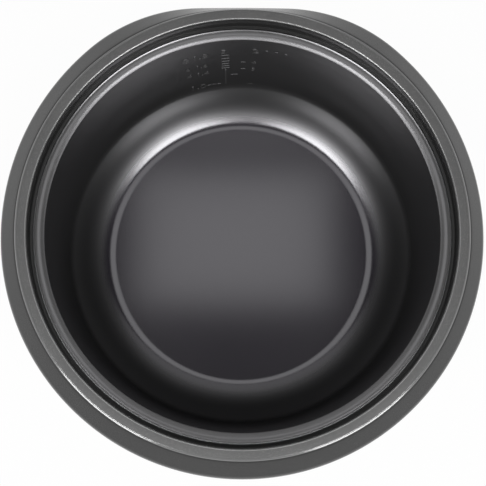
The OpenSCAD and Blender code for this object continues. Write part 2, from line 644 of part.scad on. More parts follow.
// Two thin straps over the heater, with a foot on the liner at each end
module heater_straps() color("#b8bbbd") for (z = [band_z - band_h / 2 + 4, band_z + band_h / 2 - 4 - strap_w])
    difference() {
        wrap(band_half + 4, liner_out + 0.1, band_t + 0.2 + strap_t, z, strap_w);
        wrap(band_half + 0.5, liner_out - 1, band_t + 1.2, z - 1, strap_w + 2);
    }
fuse_place = [-40, 0];
fuse_z = liner_z - 2.6;
module thermal_fuse() color("#cfc9b8") translate([fuse_place.x, fuse_place.y - 9, fuse_z]) rotate([-90, 0, 0])
    cylinder(h = 18, r = 2, $fn = small);
module fuse_clip() color("#a6a8aa") translate([fuse_place.x, fuse_place.y, 0]) difference() {
    block([-3.2, 3.2], [-4, 4], [liner_z - 5.8, liner_z]);
    translate([0, -5, fuse_z]) rotate([-90, 0, 0]) cylinder(h = 10, r = 2.1, $fn = small);
    block([-1, 1], [-5, 5], [fuse_z, liner_z + 1]);
}

/* ---- Front panel ---- */
panel_z = pan_top + 3.5;
panel_mid = panel_z + panel_h / 2;
panel_rim = 5;
panel_hole_w = panel_w - 2 * panel_rim;
panel_hole_z = [panel_z + panel_rim - 1.5, panel_z + panel_h - panel_rim];
function panel_in(z) = wall_r(z) + seat_gap;
function panel_out(z) = panel_in(z) + panel_t;
lens_z = panel_hole_z[1] - 8;
lens_turn = asin(lens_x / body_r);
slot_z = [key_z - key_h / 2 - 9.3, key_z + key_h / 2 + 1.2];
frame_y = -body_r + 11;
rim_half = panel_hole_w / 2 - seat_gap;
rim_t = 1.6;
module lens_places(s) rotate([0, 0, s * lens_turn]) translate([0, 0, lens_z]) children();
// A bowed plate over the hole in the shell, with a frame behind it that holds the lamps
module front_panel() color("#242527") difference() {
    union() {
        intersection() {
            half = asin(panel_w / 2 / body_r) + 3;
            z = [panel_z - 1, panel_z + panel_h + 1];
            rotate([0, 0, -90 - half]) rotate_extrude(angle = 2 * half, $fn = fine) polygon([
                [panel_in(z[0]), z[0]], [panel_out(z[0]), z[0]],
                [panel_out(z[1]), z[1]], [panel_in(z[1]), z[1]]]);
            translate([0, 0, panel_mid]) round_plate(panel_w, panel_h, 8, -body_r - 9, -body_r + 30);
        }
        difference() {
            intersection() {
                block([-rim_half, rim_half], [-body_r, frame_y],
                    [panel_hole_z[0] + seat_gap, panel_hole_z[1] - seat_gap]);
                translate([0, 0, panel_z - 1]) cylinder(h = panel_h + 2, r1 = panel_in(panel_z) + 0.5,
                    r2 = panel_in(panel_z + panel_h) + 0.5, $fn = fine);
            }
            block([-rim_half + rim_t, rim_half - rim_t], [-body_r - 5, frame_y + 5],
                [panel_hole_z[0] + seat_gap + 1.4, panel_hole_z[1] - seat_gap - rim_t]);
        }
    }
    block([-key_w / 2 - 1, key_w / 2 + 1], [-body_r - 9, frame_y - 4], slot_z);
    for (s = [-1, 1]) lens_places(s) round_plate(lens_w + 0.4, lens_h + 0.4, 1.2, -body_r - 9, frame_y - 4);
}
module lens(s) lens_places(s) {
    round_plate(lens_w, lens_h, 1, -panel_out(lens_z) - 0.6, -panel_in(lens_z) + 2);
    round_plate(lens_w + 3, lens_h + 2, 1, -panel_in(lens_z) + 0.9, -panel_in(lens_z) + 2.3);
}
module cook_lens() color("#d9482b") lens(-1);
module warm_lens() color("#e8a23a") lens(1);
lamp_y = -panel_in(lens_z) + 2.3 + 1.2 + lamp_r + 0.3;
holder_half = rim_half - rim_t - 0.2;
module lamp_holder() color("#d8d5cc") difference() {
    block([-holder_half, holder_half], [lamp_y - 2, lamp_y + lamp_r + 2], [lens_z - 4.6, lens_z + 4.6]);
    for (x = [-lens_x, lens_x]) block([x - 7.5, x + 7.5], [lamp_y - 9, lamp_y + lamp_r + 0.2],
        [lens_z - lamp_r - 0.2, lens_z + lamp_r + 0.2]);
    block([-lens_x + 10, lens_x - 10], [lamp_y - 9, lamp_y + lamp_r - 0.5], [lens_z - 9, lens_z + 9]);
}
module lamp(x) translate([x - 6.8, lamp_y, lens_z]) rotate([0, 90, 0]) {
    cylinder(h = 11, r = lamp_r, $fn = small);
    translate([0, 0, 11]) sphere(lamp_r, $fn = small);
}
module cook_lamp() color("#f0b8a0") lamp(-lens_x);
module warm_lamp() color("#f0b8a0") lamp(lens_x);

/* ---- Power inlet ---- */
inlet_body_w = inlet_w + 2 * inlet_wall;
inlet_body_h = inlet_h + 2 * inlet_wall;
inlet_z = pan_top + 17;
inlet_face = wall_y(inlet_z) + inlet_out;
inlet_flange_y = wall_y(inlet_z + inlet_body_h / 2) + seat_gap;
inlet_flange_w = inlet_body_w + 24;
inlet_end = inlet_face - inlet_depth - 3.5;
inlet_screw_x = inlet_body_w / 2 + 6;
blades = [[-inlet_pitch / 2, -1], [inlet_pitch / 2, -1], [0, 3]];
// A shrouded appliance inlet with a flange outside the shell
module inlet_socket() color("#1c1c1e") difference() {
    translate([0, 0, inlet_z]) {
        round_plate(inlet_body_w, inlet_body_h, 3, inlet_end, inlet_face);
        round_plate(inlet_flange_w, inlet_body_h + 4, 6, inlet_flange_y, inlet_flange_y + 2.2);
    }
    translate([0, 0, inlet_z]) round_plate(inlet_w, inlet_h, 2.5, inlet_face - inlet_depth, inlet_face + 9);
    for (b = blades) blade(b, 0.1, [inlet_end - 5, inlet_face - inlet_depth + 1]);
    inlet_screw_holes();
}
module inlet_screw_holes() for (s = [-1, 1]) translate([s * inlet_screw_x, back_y - 20, inlet_z])
    rotate([-90, 0, 0]) cylinder(h = 40, r = screw_r + screw_gap, $fn = small);
module blade(b, grow, y)
    block([b.x - 1 - grow, b.x + 1 + grow], y, [inlet_z + b.y - 2 - grow, inlet_z + b.y + 2 + grow]);
module inlet_pins() color("#c8b98a") for (b = blades) blade(b, 0, [inlet_end - 7, inlet_face - 1.5]);
module inlet_screws() color("#8d9092") for (s = [-1, 1])
    translate([s * inlet_screw_x, inlet_flange_y + 2.2, inlet_z]) rotate([90, 0, 0]) {
        translate([0, 0, -2]) cylinder(h = 2.01, r = 2.8, $fn = small);
        cylinder(h = 9, r = screw_r, $fn = small);
        translate([0, 0, inlet_flange_y + 2.2 - wall_y(inlet_z) + shell_wall + 0.5])
            cylinder(h = 2.4, r = 3.2, $fn = 6);
    }

/* ---- Wiring ---- */
inlet_tip = inlet_end - 7.3;
block_place = [-32, inlet_end - 41.6];
module terminal_block() color("#e4e0d4") difference() {
    block([block_place.x - 13, block_place.x + 13], [block_place.y - 7, block_place.y + 7],
        [liner_z - 11, liner_z]);
    for (i = [-1:1]) translate([block_place.x + 8 * i, block_place.y, liner_z - 12])
        cylinder(h = 7, r = 2.3, $fn = small);
}
module terminal_screws() color("#c9a55a") for (i = [-1:1])
    translate([block_place.x + 8 * i, block_place.y, liner_z - 10.5]) cylinder(h = 5.5, r = 2.2, $fn = small);
earth_place = [30, inlet_end - 39.6];
module earth_screw() color("#c9a55a") translate([earth_place.x, earth_place.y, 0]) {
    screw_up(liner_z - 0.8, 0.8 + liner_t + 3, floor_screw_r);
    ring(4.5, floor_screw_r - 0.1, liner_z - 0.8, 0.8, small);
}
pin_tip = element_z - element_drop - pin_len;
pin_x = element_ring * sin(end_angle);
pin_y = element_ring * cos(end_angle);
tab_tip = -switch_w / 2 - 7.4;
tab_at = tab_z - 2.4;
// A point by its distance from the axis, its direction and its height
function at(r, a, z) = [r * cos(a), r * sin(a), z];
block_y = block_place.y;
module live_wire() color("#7a4a2a") wire([
    [-7, inlet_tip, inlet_z - 1], [-8, inlet_tip - 6.3, inlet_z - 1.8], [-14, inlet_tip - 14.3, liner_z - 17],
    [-24, inlet_tip - 20.3, liner_z - 15], [-32, block_y + 11, liner_z - 9],
    [-32, block_y + 7.3, liner_z - 7]]);
module neutral_wire() color("#3f5f9a") wire([
    [7, inlet_tip, inlet_z - 1], [7.6, inlet_tip - 5, inlet_z - 1.6], [10, inlet_tip - 11, liner_z - 17],
    [15, inlet_tip - 20.3, liner_z - 22],
    [20, pin_y + 19.8, liner_z - 23], [18, pin_y + 5.8, liner_z - 21], [pin_x, pin_y, liner_z - 16],
    [pin_x, pin_y, pin_tip - 0.3]]);
module earth_wire() color("#6a8f3a") wire([
    [0, inlet_tip, inlet_z + 3], [1, inlet_tip - 7.3, liner_z - 7], [9, inlet_tip - 16.3, liner_z - 10],
    [22, inlet_tip - 22.3, liner_z - 14], [29, earth_place.y + 2, liner_z - 14],
    [30, earth_place.y, liner_z - 4.1]]);
module switch_wire() color("#7a4a2a") wire([
    [-32, block_y - 7.3, liner_z - 7], [-34, block_y - 16, liner_z - 11], [-44, 50, liner_z - 18],
    [-56, 20, liner_z - 22], [-56, -20, liner_z - 22], [-44, switch_y[0] + 12, liner_z - 19],
    [-26, switch_y[0] + 3, liner_z - 14], [tab_tip, tab_y[0], tab_at]]);
module fuse_wire() color("#a33a2c") wire([
    [fuse_place.x, fuse_place.y - 9.3, fuse_z], [-39, -18, liner_z - 5], [-32, -27, liner_z - 8],
    [-22, -30, liner_z - 9], [tab_tip, tab_y[2], tab_at]]);
module heater_wire() color("#a33a2c") wire([
    [-pin_x, pin_y, pin_tip - 0.3], [-pin_x, pin_y - 2, liner_z - 17], [-24, pin_y - 12.2, liner_z - 19],
    [-36, 30, liner_z - 14], [fuse_place.x, 18, liner_z - 6], [fuse_place.x, fuse_place.y + 9.3, fuse_z]]);
module lamp_wire() color("#d8d5cc") wire([
    [tab_tip, tab_y[1], tab_at], [-21, switch_y[0] + 11, liner_z - 8],
    [-31, switch_y[0] + 7, liner_z - 8.5], [-35, switch_y[0] - 8, liner_z - 12],
    [-28, lamp_y + 41.5, liner_z - 18], [-22, lamp_y + 17.5, liner_z - 10],
    [-20, lamp_y + 7.5, lens_z - 21.5], [-20, lamp_y + 1, lens_z - 4.9]]);
module warm_wire() color("#d8d5cc") wire([
    [warm_place.x + 9.8, warm_place.y, liner_z - 3], at(liner_out - 47.7, 10.7, liner_z - 9),
    at(liner_out - 25, 1.2, liner_z - 11), at(liner_out - 1.7, -8.5, liner_z - 6),
    at(liner_out + 5.7, -11.7, liner_z + 14), at(liner_out + 4.8, -17.3, liner_z + 38),
    at(liner_out + 2.4, -30, band_z - band_h / 2 - 1.5)]);

pot();
top_ring();
outer_shell();
inner_liner();
base_pan();
feet();
base_screws();
ring_screws();
heating_plate();
heating_element();
element_pins();
plate_spacers();
plate_screws();
thermostat_frame();
frame_rivets();
sensor_cap();
sensor_spring();
ferrite();
magnet();
plunger();
release_spring();
lever_arm();
cook_key();
lever_pin();
lever_bracket();
bracket_screws();
switch_body();
switch_button();
switch_tabs();
switch_screws();
warm_thermostat();
warm_heater();
heater_straps();
thermal_fuse();
fuse_clip();
front_panel();
cook_lens();
warm_lens();
lamp_holder();
cook_lamp();
warm_lamp();
inlet_socket();
inlet_pins();
inlet_screws();
terminal_block();
terminal_screws();
earth_screw();
live_wire();
neutral_wire();
earth_wire();
switch_wire();
fuse_wire();
heater_wire();
lamp_wire();
warm_wire();
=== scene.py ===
# %% [markdown]
# # A table-top rice cooker with its lid off
#
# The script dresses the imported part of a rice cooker: a round casing with a flat back, a ring around the
# lid recess, and a dark coated pot that lifts out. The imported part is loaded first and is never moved.
# Every piece made here is worked out in millimetres in the same frame (origin on the table under the
# pot's axis, front towards -Y, +Z up) and becomes metres only when its mesh is made, so nothing has to be
# fitted afterwards.

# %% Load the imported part
import json
import bmesh
import bpy
import numpy as np
from mathutils import Matrix, Vector


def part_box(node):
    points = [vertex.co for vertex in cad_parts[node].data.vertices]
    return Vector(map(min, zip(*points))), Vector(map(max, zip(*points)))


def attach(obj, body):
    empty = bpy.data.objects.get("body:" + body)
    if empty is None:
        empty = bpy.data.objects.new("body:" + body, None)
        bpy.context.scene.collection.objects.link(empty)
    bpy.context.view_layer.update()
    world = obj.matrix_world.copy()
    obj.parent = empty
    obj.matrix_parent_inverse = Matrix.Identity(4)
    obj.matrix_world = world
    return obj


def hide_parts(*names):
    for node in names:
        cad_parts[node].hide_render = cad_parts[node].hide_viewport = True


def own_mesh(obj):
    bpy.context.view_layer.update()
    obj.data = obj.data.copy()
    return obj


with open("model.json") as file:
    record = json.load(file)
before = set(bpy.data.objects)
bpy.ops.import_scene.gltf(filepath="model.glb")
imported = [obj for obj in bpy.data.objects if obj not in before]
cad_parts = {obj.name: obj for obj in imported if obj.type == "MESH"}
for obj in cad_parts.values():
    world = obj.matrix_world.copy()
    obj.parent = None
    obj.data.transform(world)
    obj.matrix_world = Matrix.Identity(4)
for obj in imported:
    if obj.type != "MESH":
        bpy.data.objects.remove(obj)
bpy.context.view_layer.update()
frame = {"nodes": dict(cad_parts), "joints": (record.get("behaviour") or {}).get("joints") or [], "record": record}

# %% [markdown]
# ## Profiles with round corners
#
# Most pieces of a cooker are turned, drawn or moulded, so a piece is described by the corners of its
# section and the radius at each corner. A Bevel modifier could round the corners afterwards, but a radius
# in the section itself gives clean rings of faces and exactly the width of highlight that is wanted.


# %% Rounded corners and arcs
def rounded(corners, steps=5):
    """Points along a section through corners (a, b, radius).
    An arc that is tangent to both sides starts radius / tan(half) before its corner, where half is half of
    the angle between the sides, and its centre lies radius / sin(half) from the corner, on the line that
    halves it."""
    points = []
    for i, (a, b, radius) in enumerate(corners):
        here = np.array([a, b], float)
        if radius == 0 or i in (0, len(corners) - 1):
            points.append(here[None])
            continue
        back, on = (np.array(corners[k][:2], float) - here for k in (i - 1, i + 1))
        back, on = back / np.linalg.norm(back), on / np.linalg.norm(on)
        half = np.arccos(np.clip(back @ on, -1, 1)) / 2
        centre = here + (back + on) / np.linalg.norm(back + on) * radius / np.sin(half)
        start, end = (here + side * radius / np.tan(half) - centre for side in (back, on))
        first = np.arctan2(start[1], start[0])
        turn = (np.arctan2(end[1], end[0]) - first + np.pi) % (2 * np.pi) - np.pi
        angle = first + turn * np.linspace(0, 1, steps + 1)
        points.append(centre + radius * np.stack([np.cos(angle), np.sin(angle)], 1))
    return np.concatenate(points)


def arc(centre, radius, start, end, steps):
    """Points of a circle about centre from the angle start to the angle end, in degrees."""
    angle = np.radians(np.linspace(start, end, steps + 1))
    return np.array(centre) + radius * np.stack([np.cos(angle), np.sin(angle)], 1)


# %% [markdown]
# ## Surfaces on a grid
#
# Each surface is a grid of points, worked out as whole numpy arrays. `grid_faces` joins neighbours into
# four-sided faces, and `spin` carries a section once round the Z axis. Where a section starts or ends on
# the axis, all points of that row fall together, and merging them closes the pole.


# %% Grids of points and of faces
def grid_faces(rows, cols, wrap_rows=False, wrap_cols=True):
    """Indices of the four-sided faces of a grid with rows * cols points, as an array (faces, 4).
    The face of row j and column i joins the points (j, i), (j, i + 1), (j + 1, i + 1) and (j + 1, i)."""
    j, i = np.meshgrid(np.arange(rows if wrap_rows else rows - 1),
                       np.arange(cols if wrap_cols else cols - 1), indexing="ij")
    j2, i2 = (j + 1) % rows, (i + 1) % cols
    return np.stack([j * cols + i, j * cols + i2, j2 * cols + i2, j2 * cols + i], -1).reshape(-1, 4)


def spin(section, segments=288, centre=(0, 0), closed=False):
    """A section of (radius, height) points carried round a vertical axis: x = r cos a, y = r sin a, with a
    from 0 to a full turn."""
    angle = np.linspace(0, 2 * np.pi, segments, endpoint=False)
    r, z = section[:, 0, None], section[:, 1, None]
    points = np.stack([centre[0] + r * np.cos(angle), centre[1] + r * np.sin(angle), z + 0 * angle], -1)
    return points, grid_faces(len(section), segments, wrap_rows=closed)


def around(radius, degrees):
    """Places (x, y) on a circle about the axis, at directions in degrees from +X."""
    return [(radius * np.cos(a), radius * np.sin(a)) for a in np.radians(degrees)]


# %% [markdown]
# ## From grids to pieces
#
# `show` joins grids into one mesh, merges the seams and poles and turns the faces outwards. `piece` also
# says which body it rides on, which finish it has and which imported nodes it replaces, and marks
# edges sharper than a given angle, so that smooth shading doesn't smear across them. The enclosed volume
# is positive only when the faces point outwards, so it is printed as a check.


# %% Make a piece
MM = 0.001


def points_of(mesh):
    """Places of a mesh's points in metres, as an array (points, 3)."""
    flat = np.empty(len(mesh.vertices) * 3)
    mesh.vertices.foreach_get("co", flat)
    return flat.reshape(-1, 3)


def volume(mesh):
    """Volume that a mesh encloses, in cubic centimetres: the sum of a . (b x c) / 6 over its triangles."""
    mesh.calc_loop_triangles()
    corners = np.empty(len(mesh.loop_triangles) * 3, np.int32)
    mesh.loop_triangles.foreach_get("vertices", corners)
    a, b, c = points_of(mesh)[corners.reshape(-1, 3)].transpose(1, 0, 2)
    return float(np.einsum("ij,ij->i", a, np.cross(b, c)).sum() / 6 * 1e6)


def counted_on(faces, count):
    """Faces counted on by count: an array at once, a list one by one, as its faces may differ in corners."""
    if isinstance(faces, np.ndarray):
        return (faces + count).tolist()
    return [[corner + count for corner in face] for face in faces]


def show(name, grids, finish):
    """An object with one smooth mesh, joined from grids of (points in millimetres, faces)."""
    points, faces, count = [], [], 0
    for p, f in grids:
        points.append(p.reshape(-1, 3) * MM)
        faces += counted_on(f, count)
        count += len(points[-1])
    mesh = bpy.data.meshes.new(name)
    mesh.from_pydata(np.concatenate(points), [], faces)
    work = bmesh.new()
    work.from_mesh(mesh)
    bmesh.ops.remove_doubles(work, verts=work.verts, dist=1e-7)
    bmesh.ops.recalc_face_normals(work, faces=work.faces)
    work.to_mesh(mesh)
    work.free()
    mesh.shade_smooth()
    mesh.materials.append(finish)
    made = bpy.data.objects.new(name, mesh)
    bpy.context.scene.collection.objects.link(made)
    return made


def piece(name, grids, finish, body="base", replaces=(), sharp=32):
    """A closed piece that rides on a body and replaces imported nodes. Edges over sharp degrees stay crisp."""
    made = show(name, grids, finish)
    made.data.set_sharp_from_angle(angle=np.radians(sharp))
    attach(made, body)
    if replaces:
        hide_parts(*replaces)
    print(f"{name}: {len(made.data.polygons)} faces, {volume(made.data):.2f} cm3")
    return made


# %% [markdown]
# ## Shader maths as expressions
#
# A finish is worked out from a position in the object's own space, so it stays on the piece when the
# piece moves. `Out` wraps a node's output socket, and an operator on it adds the Math node, so that a
# mask reads as `(1 - band) * 0.4`. Every other node comes from `Finish.node`, which takes the node's
# type, its settings and what goes into its sockets.


# %% Sockets and finishes
class Out:
    """An output socket in a finish's node tree. Arithmetic with numbers or other outputs adds Math nodes."""

    def __init__(self, finish, socket):
        self.finish, self.socket = finish, socket

    def math(self, operation, *values):
        return self.finish.node("Math", {"operation": operation}, dict(enumerate(values)))

    def sine(self):
        return self.math("SINE", self)

    def __add__(self, other): return self.math("ADD", self, other)
    def __sub__(self, other): return self.math("SUBTRACT", self, other)
    def __rsub__(self, other): return self.math("SUBTRACT", other, self)
    def __mul__(self, other): return self.math("MULTIPLY", self, other)
    __radd__, __rmul__ = __add__, __mul__


class Finish:
    """A material with a Principled shader, whose constant sockets are set from a dictionary."""

    def __init__(self, name, constants):
        self.material = bpy.data.materials.new(name)
        self.material.use_nodes = True
        self.tree = self.material.node_tree
        self.shader = self.tree.nodes["Principled BSDF"]
        self.set(constants)

    def node(self, kind, settings=None, inputs=None, output=0):
        """Adds ShaderNode<kind>, its settings first, then its sockets by name or number. Wraps an output."""
        node = self.tree.nodes.new("ShaderNode" + kind)
        for name, value in (settings or {}).items():
            setattr(node, name, value)
        for key, value in (inputs or {}).items():
            self.put(node.inputs[key], value)
        return Out(self, node.outputs[output])

    def put(self, socket, value):
        """Links an output to a socket, or sets the socket's own value."""
        if isinstance(value, Out):
            self.tree.links.new(value.socket, socket)
        else:
            socket.default_value = value

    def set(self, values):
        for key, value in values.items():
            self.put(self.shader.inputs[key], value)

    def mix(self, factor, a, b):
        """Colour a where factor is 0 and colour b where it is 1."""
        return self.node("Mix", {"data_type": "RGBA"}, {0: factor, 6: a, 7: b}, output=2)

    def place(self):
        """The position in the object's own space, in metres."""
        return self.node("TexCoord", output="Object")

    def axes(self, place):
        """x, y and z of a position, as three outputs."""
        parts = self.node("SeparateXYZ", None, {0: place})
        return [Out(self, s) for s in parts.socket.node.outputs]

    def from_axis(self, place):
        """Distance of a position from the Z axis, sqrt(x^2 + y^2)."""
        flat = self.node("VectorMath", {"operation": "MULTIPLY"}, {0: place, 1: (1, 1, 0)})
        return self.node("VectorMath", {"operation": "LENGTH"}, {0: flat}, output="Value")

    def noise(self, place, size, detail=2.0, roughness=0.5):
        """Noise from 0 to 1 whose grains are about size millimetres."""
        return self.node("TexNoise", None, {"Vector": place, "Scale": 1 / (size * MM), "Detail": detail,
                                            "Roughness": roughness})

    def step(self, value, low, high):
        """0 below low, 1 above high, smooth between them."""
        return self.node("MapRange", {"interpolation_type": "SMOOTHSTEP"},
                         {"Value": value, "From Min": low, "From Max": high})

    def bump(self, height, depth, normal=None):
        """A normal for a height from 0 to 1 that stands for depth millimetres."""
        inputs = {"Height": height, "Distance": depth * MM, "Strength": 1.0}
        if normal:
            inputs["Normal"] = normal
        return self.node("Bump", None, inputs)


def grey(value, warmth=0.0):
    """A linear colour from a brightness, warmer above 0 and cooler below it."""
    return (value * (1 + warmth), value, value * (1 - warmth), 1)


def shade(colour, factor):
    """A colour times a factor, at most white."""
    return tuple(min(c * factor, 1) for c in colour[:3]) + (1,)


# %% [markdown]
# ## The casing's satin paint
#
# The casing and the ring are sprayed in a dark satin paint with a very fine fleck. Little light comes
# back from its body; what gives it its tone is the reflection, which grows as the surface turns away from
# the eye. So the base colour is nearly black and the specular level carries the look, and a fine noise,
# smaller than a millimetre, lifts the fleck and roughens the coat. A coarse, faint noise keeps large
# areas from looking computed. Two masks paint light and shade into the colour. Between two distances from
# the axis a lighter, more metallic band is a painted highlight, where the bright lines at the crease and at
# the ring's inner edge fall. Below a height the sides of the recess get a darker, glossier tone, which is
# painted shade.


# %% Satin paint
def satin_paint(name, tone, metallic, roughness, level, fleck=0.35, highlight_band=None, highlight_tone=0.22, highlight_metallic=0.6,
                recess_shade_below=None):
    """Paint of a tone. A lighter, more metallic band between two given distances from the axis is a painted
    highlight, and a darker, glossier tone below a given height is painted shade, all in millimetres. A mask m
    takes a value from a to b as a + m (b - a)."""
    f = Finish(name, {"Specular IOR Level": level})
    place = f.place()
    grain = f.noise(place, size=0.55)
    cloud = f.noise(place, size=45)
    light = f.step(grain, 0.52, 0.72) * fleck + (cloud - 0.5) * 0.25
    colour = f.mix(light, grey(tone), grey(tone * 2.6, 0.02))
    metalness = metallic
    rough = roughness + (grain - 0.5) * 0.12 + (cloud - 0.5) * 0.05
    # Painted highlight: a lighter, more metallic band between two distances from the axis.
    if highlight_band:
        radius, (start, end) = f.from_axis(place), highlight_band
        highlight_mask = (f.step(radius, (start - 0.2) * MM, (start + 0.2) * MM)
                * (1 - f.step(radius, (end - 0.4) * MM, (end + 0.2) * MM)))
        colour = f.mix(highlight_mask, colour, grey(highlight_tone))
        metalness = metallic + highlight_mask * (highlight_metallic - metallic)
        rough = rough - highlight_mask * 0.12
    # Painted shade: below a height the colour turns darker, with a glossier coat.
    if recess_shade_below:
        recess_shade_tone, recess_metalness, recess_rough = 0.04, 0.5, 0.18
        unshaded = f.step(f.axes(place)[2], (recess_shade_below - 0.15) * MM, (recess_shade_below + 0.15) * MM)
        colour = f.mix(unshaded, grey(recess_shade_tone), colour)
        metalness = recess_metalness + unshaded * (metalness - recess_metalness)
        rough = recess_rough + unshaded * (rough - recess_rough)
    slow_wave = f.bump(f.noise(place, size=2.4, detail=1), depth=0.006)
    f.set({
        "Base Color": colour,
        "Metallic": metalness,
        "Roughness": rough,
        "Normal": f.bump(grain, depth=0.012, normal=slow_wave),
    })
    return f.material


bezel_paint = satin_paint("bezel_paint", tone=0.16, metallic=0.6, roughness=0.30, level=0.5, fleck=0.2)
print("first paint:", bezel_paint.name)

# %% [markdown]
# ## The pot's coating
#
# The pot is spun aluminium with a dark non-stick coating inside. On the flat floor the coating settles
# smooth, and on the corner and the wall it dries rougher. The wall is a lighter grey, which is painted
# reflection of the light that the pot throws onto it.
# The lip is rubbed by the lid, so it is lighter and smoother than the wall. The body of the coating is
# nearly black, so a high specular level carries the look. The borders are steps in the height and in the
# distance from the axis.


# %% Non-stick coating
def pot_coating(name, bowl, wall, lip, lip_radius):
    """The bowl's colour, with greys of the wall and of the lip mixed in by masks, which are 0 or 1 on either
    side of a soft border. The wall's lighter grey is painted reflection. The corner and the wall begin at
    distances and heights in millimetres."""
    f = Finish(name, {"Specular IOR Level": 1.0, "Specular Tint": (0.975, 0.965, 1.0, 1)})
    place = f.place()
    height = f.axes(place)[2]
    radius = f.from_axis(place)
    corner_from, corner_to, wall_from, wall_to = 91.5, 99, 68, 79
    at_lip = f.step(radius, (lip_radius - 1.6) * MM, (lip_radius + 0.4) * MM)
    at_corner = f.step(radius, corner_from * MM, corner_to * MM)
    at_wall = f.step(height, wall_from * MM, wall_to * MM)
    grain = f.noise(place, size=0.5)
    cloud = f.noise(place, size=30, detail=3)
    fleck = f.step(grain, 0.56, 0.70)
    mottle = fleck * 0.4 + cloud * 0.3
    inner = f.mix(at_corner, f.mix(mottle, bowl, shade(bowl, 2)), grey(0.006))
    # Painted reflection: the wall's grey is lighter than the bowl's, for the glow reflected onto it.
    side = f.mix(mottle, grey(wall * 0.7), grey(wall * 1.6))
    rim = f.mix(cloud * 0.6 + fleck * 0.3, grey(lip * 0.8), grey(lip * 1.5, 0.01))
    f.set({
        "Base Color": f.mix(at_lip, f.mix(at_wall, inner, side), rim),
        "Roughness": 0.14 + at_corner * 0.16 + at_wall * 0.14 - at_lip * 0.24 + (grain - 0.5) * 0.04,
        "Normal": f.bump(grain, depth=0.004),
    })
    return f.material


pot_r, lip_w = 118.0, 6.5
dark_bowl = (0.0056, 0.0036, 0.0082, 1)
pot_coat = pot_coating("pot_coat", dark_bowl, wall=0.034, lip=0.052, lip_radius=pot_r + 1.2)
# The marks get a lighter wall grey: a painted highlight for the light their relief catches.
mark_coat = pot_coating("mark_coat", dark_bowl, wall=0.075, lip=0.066, lip_radius=pot_r + 1.2)
print("coatings:", pot_coat.name, mark_coat.name)

# %% [markdown]
# ## The pot
#
# A drawn bowl: flat floor, a corner that first rises gently and then turns up sharply, a wall that
# narrows slightly downwards, and a crowned lip with a small bead that hangs in the ring. A drawn corner
# isn't part of a circle, so it is given by how steep it is at each distance from the axis, and its height
# is the running sum of the slopes. The outside is the same curve, moved out along its normals by the
# sheet's thickness. The lip falls towards the bowl with a slope that grows as a quarter of a sine, and
# then turns down over a small radius. Its edge is trimmed a little, which leaves a dark gap between it
# and the ring.


# %% Curve of the pot's corner
def running_sum(slope, place):
    """Height of a curve from its slope at each place: the area under the slope, summed as trapeziums."""
    return np.concatenate([[0], np.cumsum((slope[1:] + slope[:-1]) / 2 * np.diff(place))])


pot_wall, pot_floor = 2.2, 3.0
seat_z = 1000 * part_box("pot")[0].z
lip_z = 1000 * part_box("pot")[1].z
floor_z = seat_z + pot_floor
steepness = [(87, 0), (93, 13), (104, 25.5), (110, 32.5), (114.5, 38.5), (116.2, 60), (117, 88)]
steep_r, steep = np.array(steepness).T
bend_r = np.linspace(steep_r[0], steep_r[-1], 121)
bend_tilt = np.radians(np.interp(bend_r, steep_r, steep))
bend_in = np.stack([bend_r, floor_z + running_sum(np.tan(bend_tilt), bend_r)], 1)
thickness = np.interp(bend_tilt, [0, np.pi / 2], [pot_floor, pot_wall])[:, None]
bend_out = bend_in + thickness * np.stack([np.sin(bend_tilt), -np.cos(bend_tilt)], 1)
flat_r, corner_z = bend_in[0, 0], bend_in[-1, 1]
print(f"corner: from {flat_r:.1f} mm at the floor to height {corner_z:.1f} mm")

# %% Crown of the pot's lip
lip_t, lip_trim, bead, bead_w = 2.4, 0.4, 0.22, 0.7
crown_w, crown_tilt, lip_round = 4.5, 17.0, 0.4
lip_r = pot_r + lip_w
lip_end = lip_r - lip_trim
tilt = np.radians(crown_tilt)
u = np.linspace(0, 1, 25)
crown_r = pot_r + lip_round * (1 - np.sin(tilt)) + crown_w
drop = running_sum(np.tan(tilt * np.sin(np.pi / 2 * u)) * crown_w, u)
crown = np.stack([crown_r - crown_w * u, lip_z - bead - drop], 1)
round_mid = crown[-1] - lip_round * np.array([-np.sin(tilt), np.cos(tilt)])
wall_top = round_mid[1]
print(f"lip: falls {drop[-1]:.2f} mm over {crown_w:.1f} mm")

# %% Pot
outer_r = pot_r + pot_wall
pot_section = np.concatenate([
    [[0, seat_z], [flat_r / 2, seat_z]],
    bend_out,
    [[outer_r - 0.6, (corner_z + lip_z) / 2]],
    rounded([(outer_r - 0.4, lip_z - 12, 0), (outer_r, lip_z - lip_t, 0.8), (lip_end, lip_z - lip_t, 0.7),
             (lip_end, lip_z, 0), (lip_end - 0.1, lip_z, 0.04), (lip_end - bead_w, lip_z - bead, 0.1),
             (crown_r + 0.1, lip_z - bead, 0)], 8),
    crown,
    arc(round_mid, lip_round, 90 + crown_tilt, 180, 10)[1:],
    [[pot_r + (bend_in[-1, 0] - pot_r) * k, wall_top + (corner_z - wall_top) * k] for k in (0.25, 0.5, 0.75)],
    bend_in[::-1],
    [[flat_r * k, floor_z] for k in (0.75, 0.5, 0.25, 0)],
])
piece("pot_bowl", [spin(pot_section, 320)], pot_coat, "pot", ["pot"])

# %% [markdown]
# ## Level marks on the pot's wall
#
# The pot's back wall carries embossed numbers and ticks that show how much water to pour. They are
# generic numerals. Blender's own text makes the outlines; each text is turned into a mesh and its points
# are bent onto the wall: x becomes the distance along the wall, y the height, and z the relief towards
# the axis. Faces of a text differ in their number of corners, so they come as lists. Every edge is kept
# crisp.


# %% Numerals and ticks on the wall
relief, bar_relief, sunk = 0.6, 0.2, 0.05
font_height = 0.73


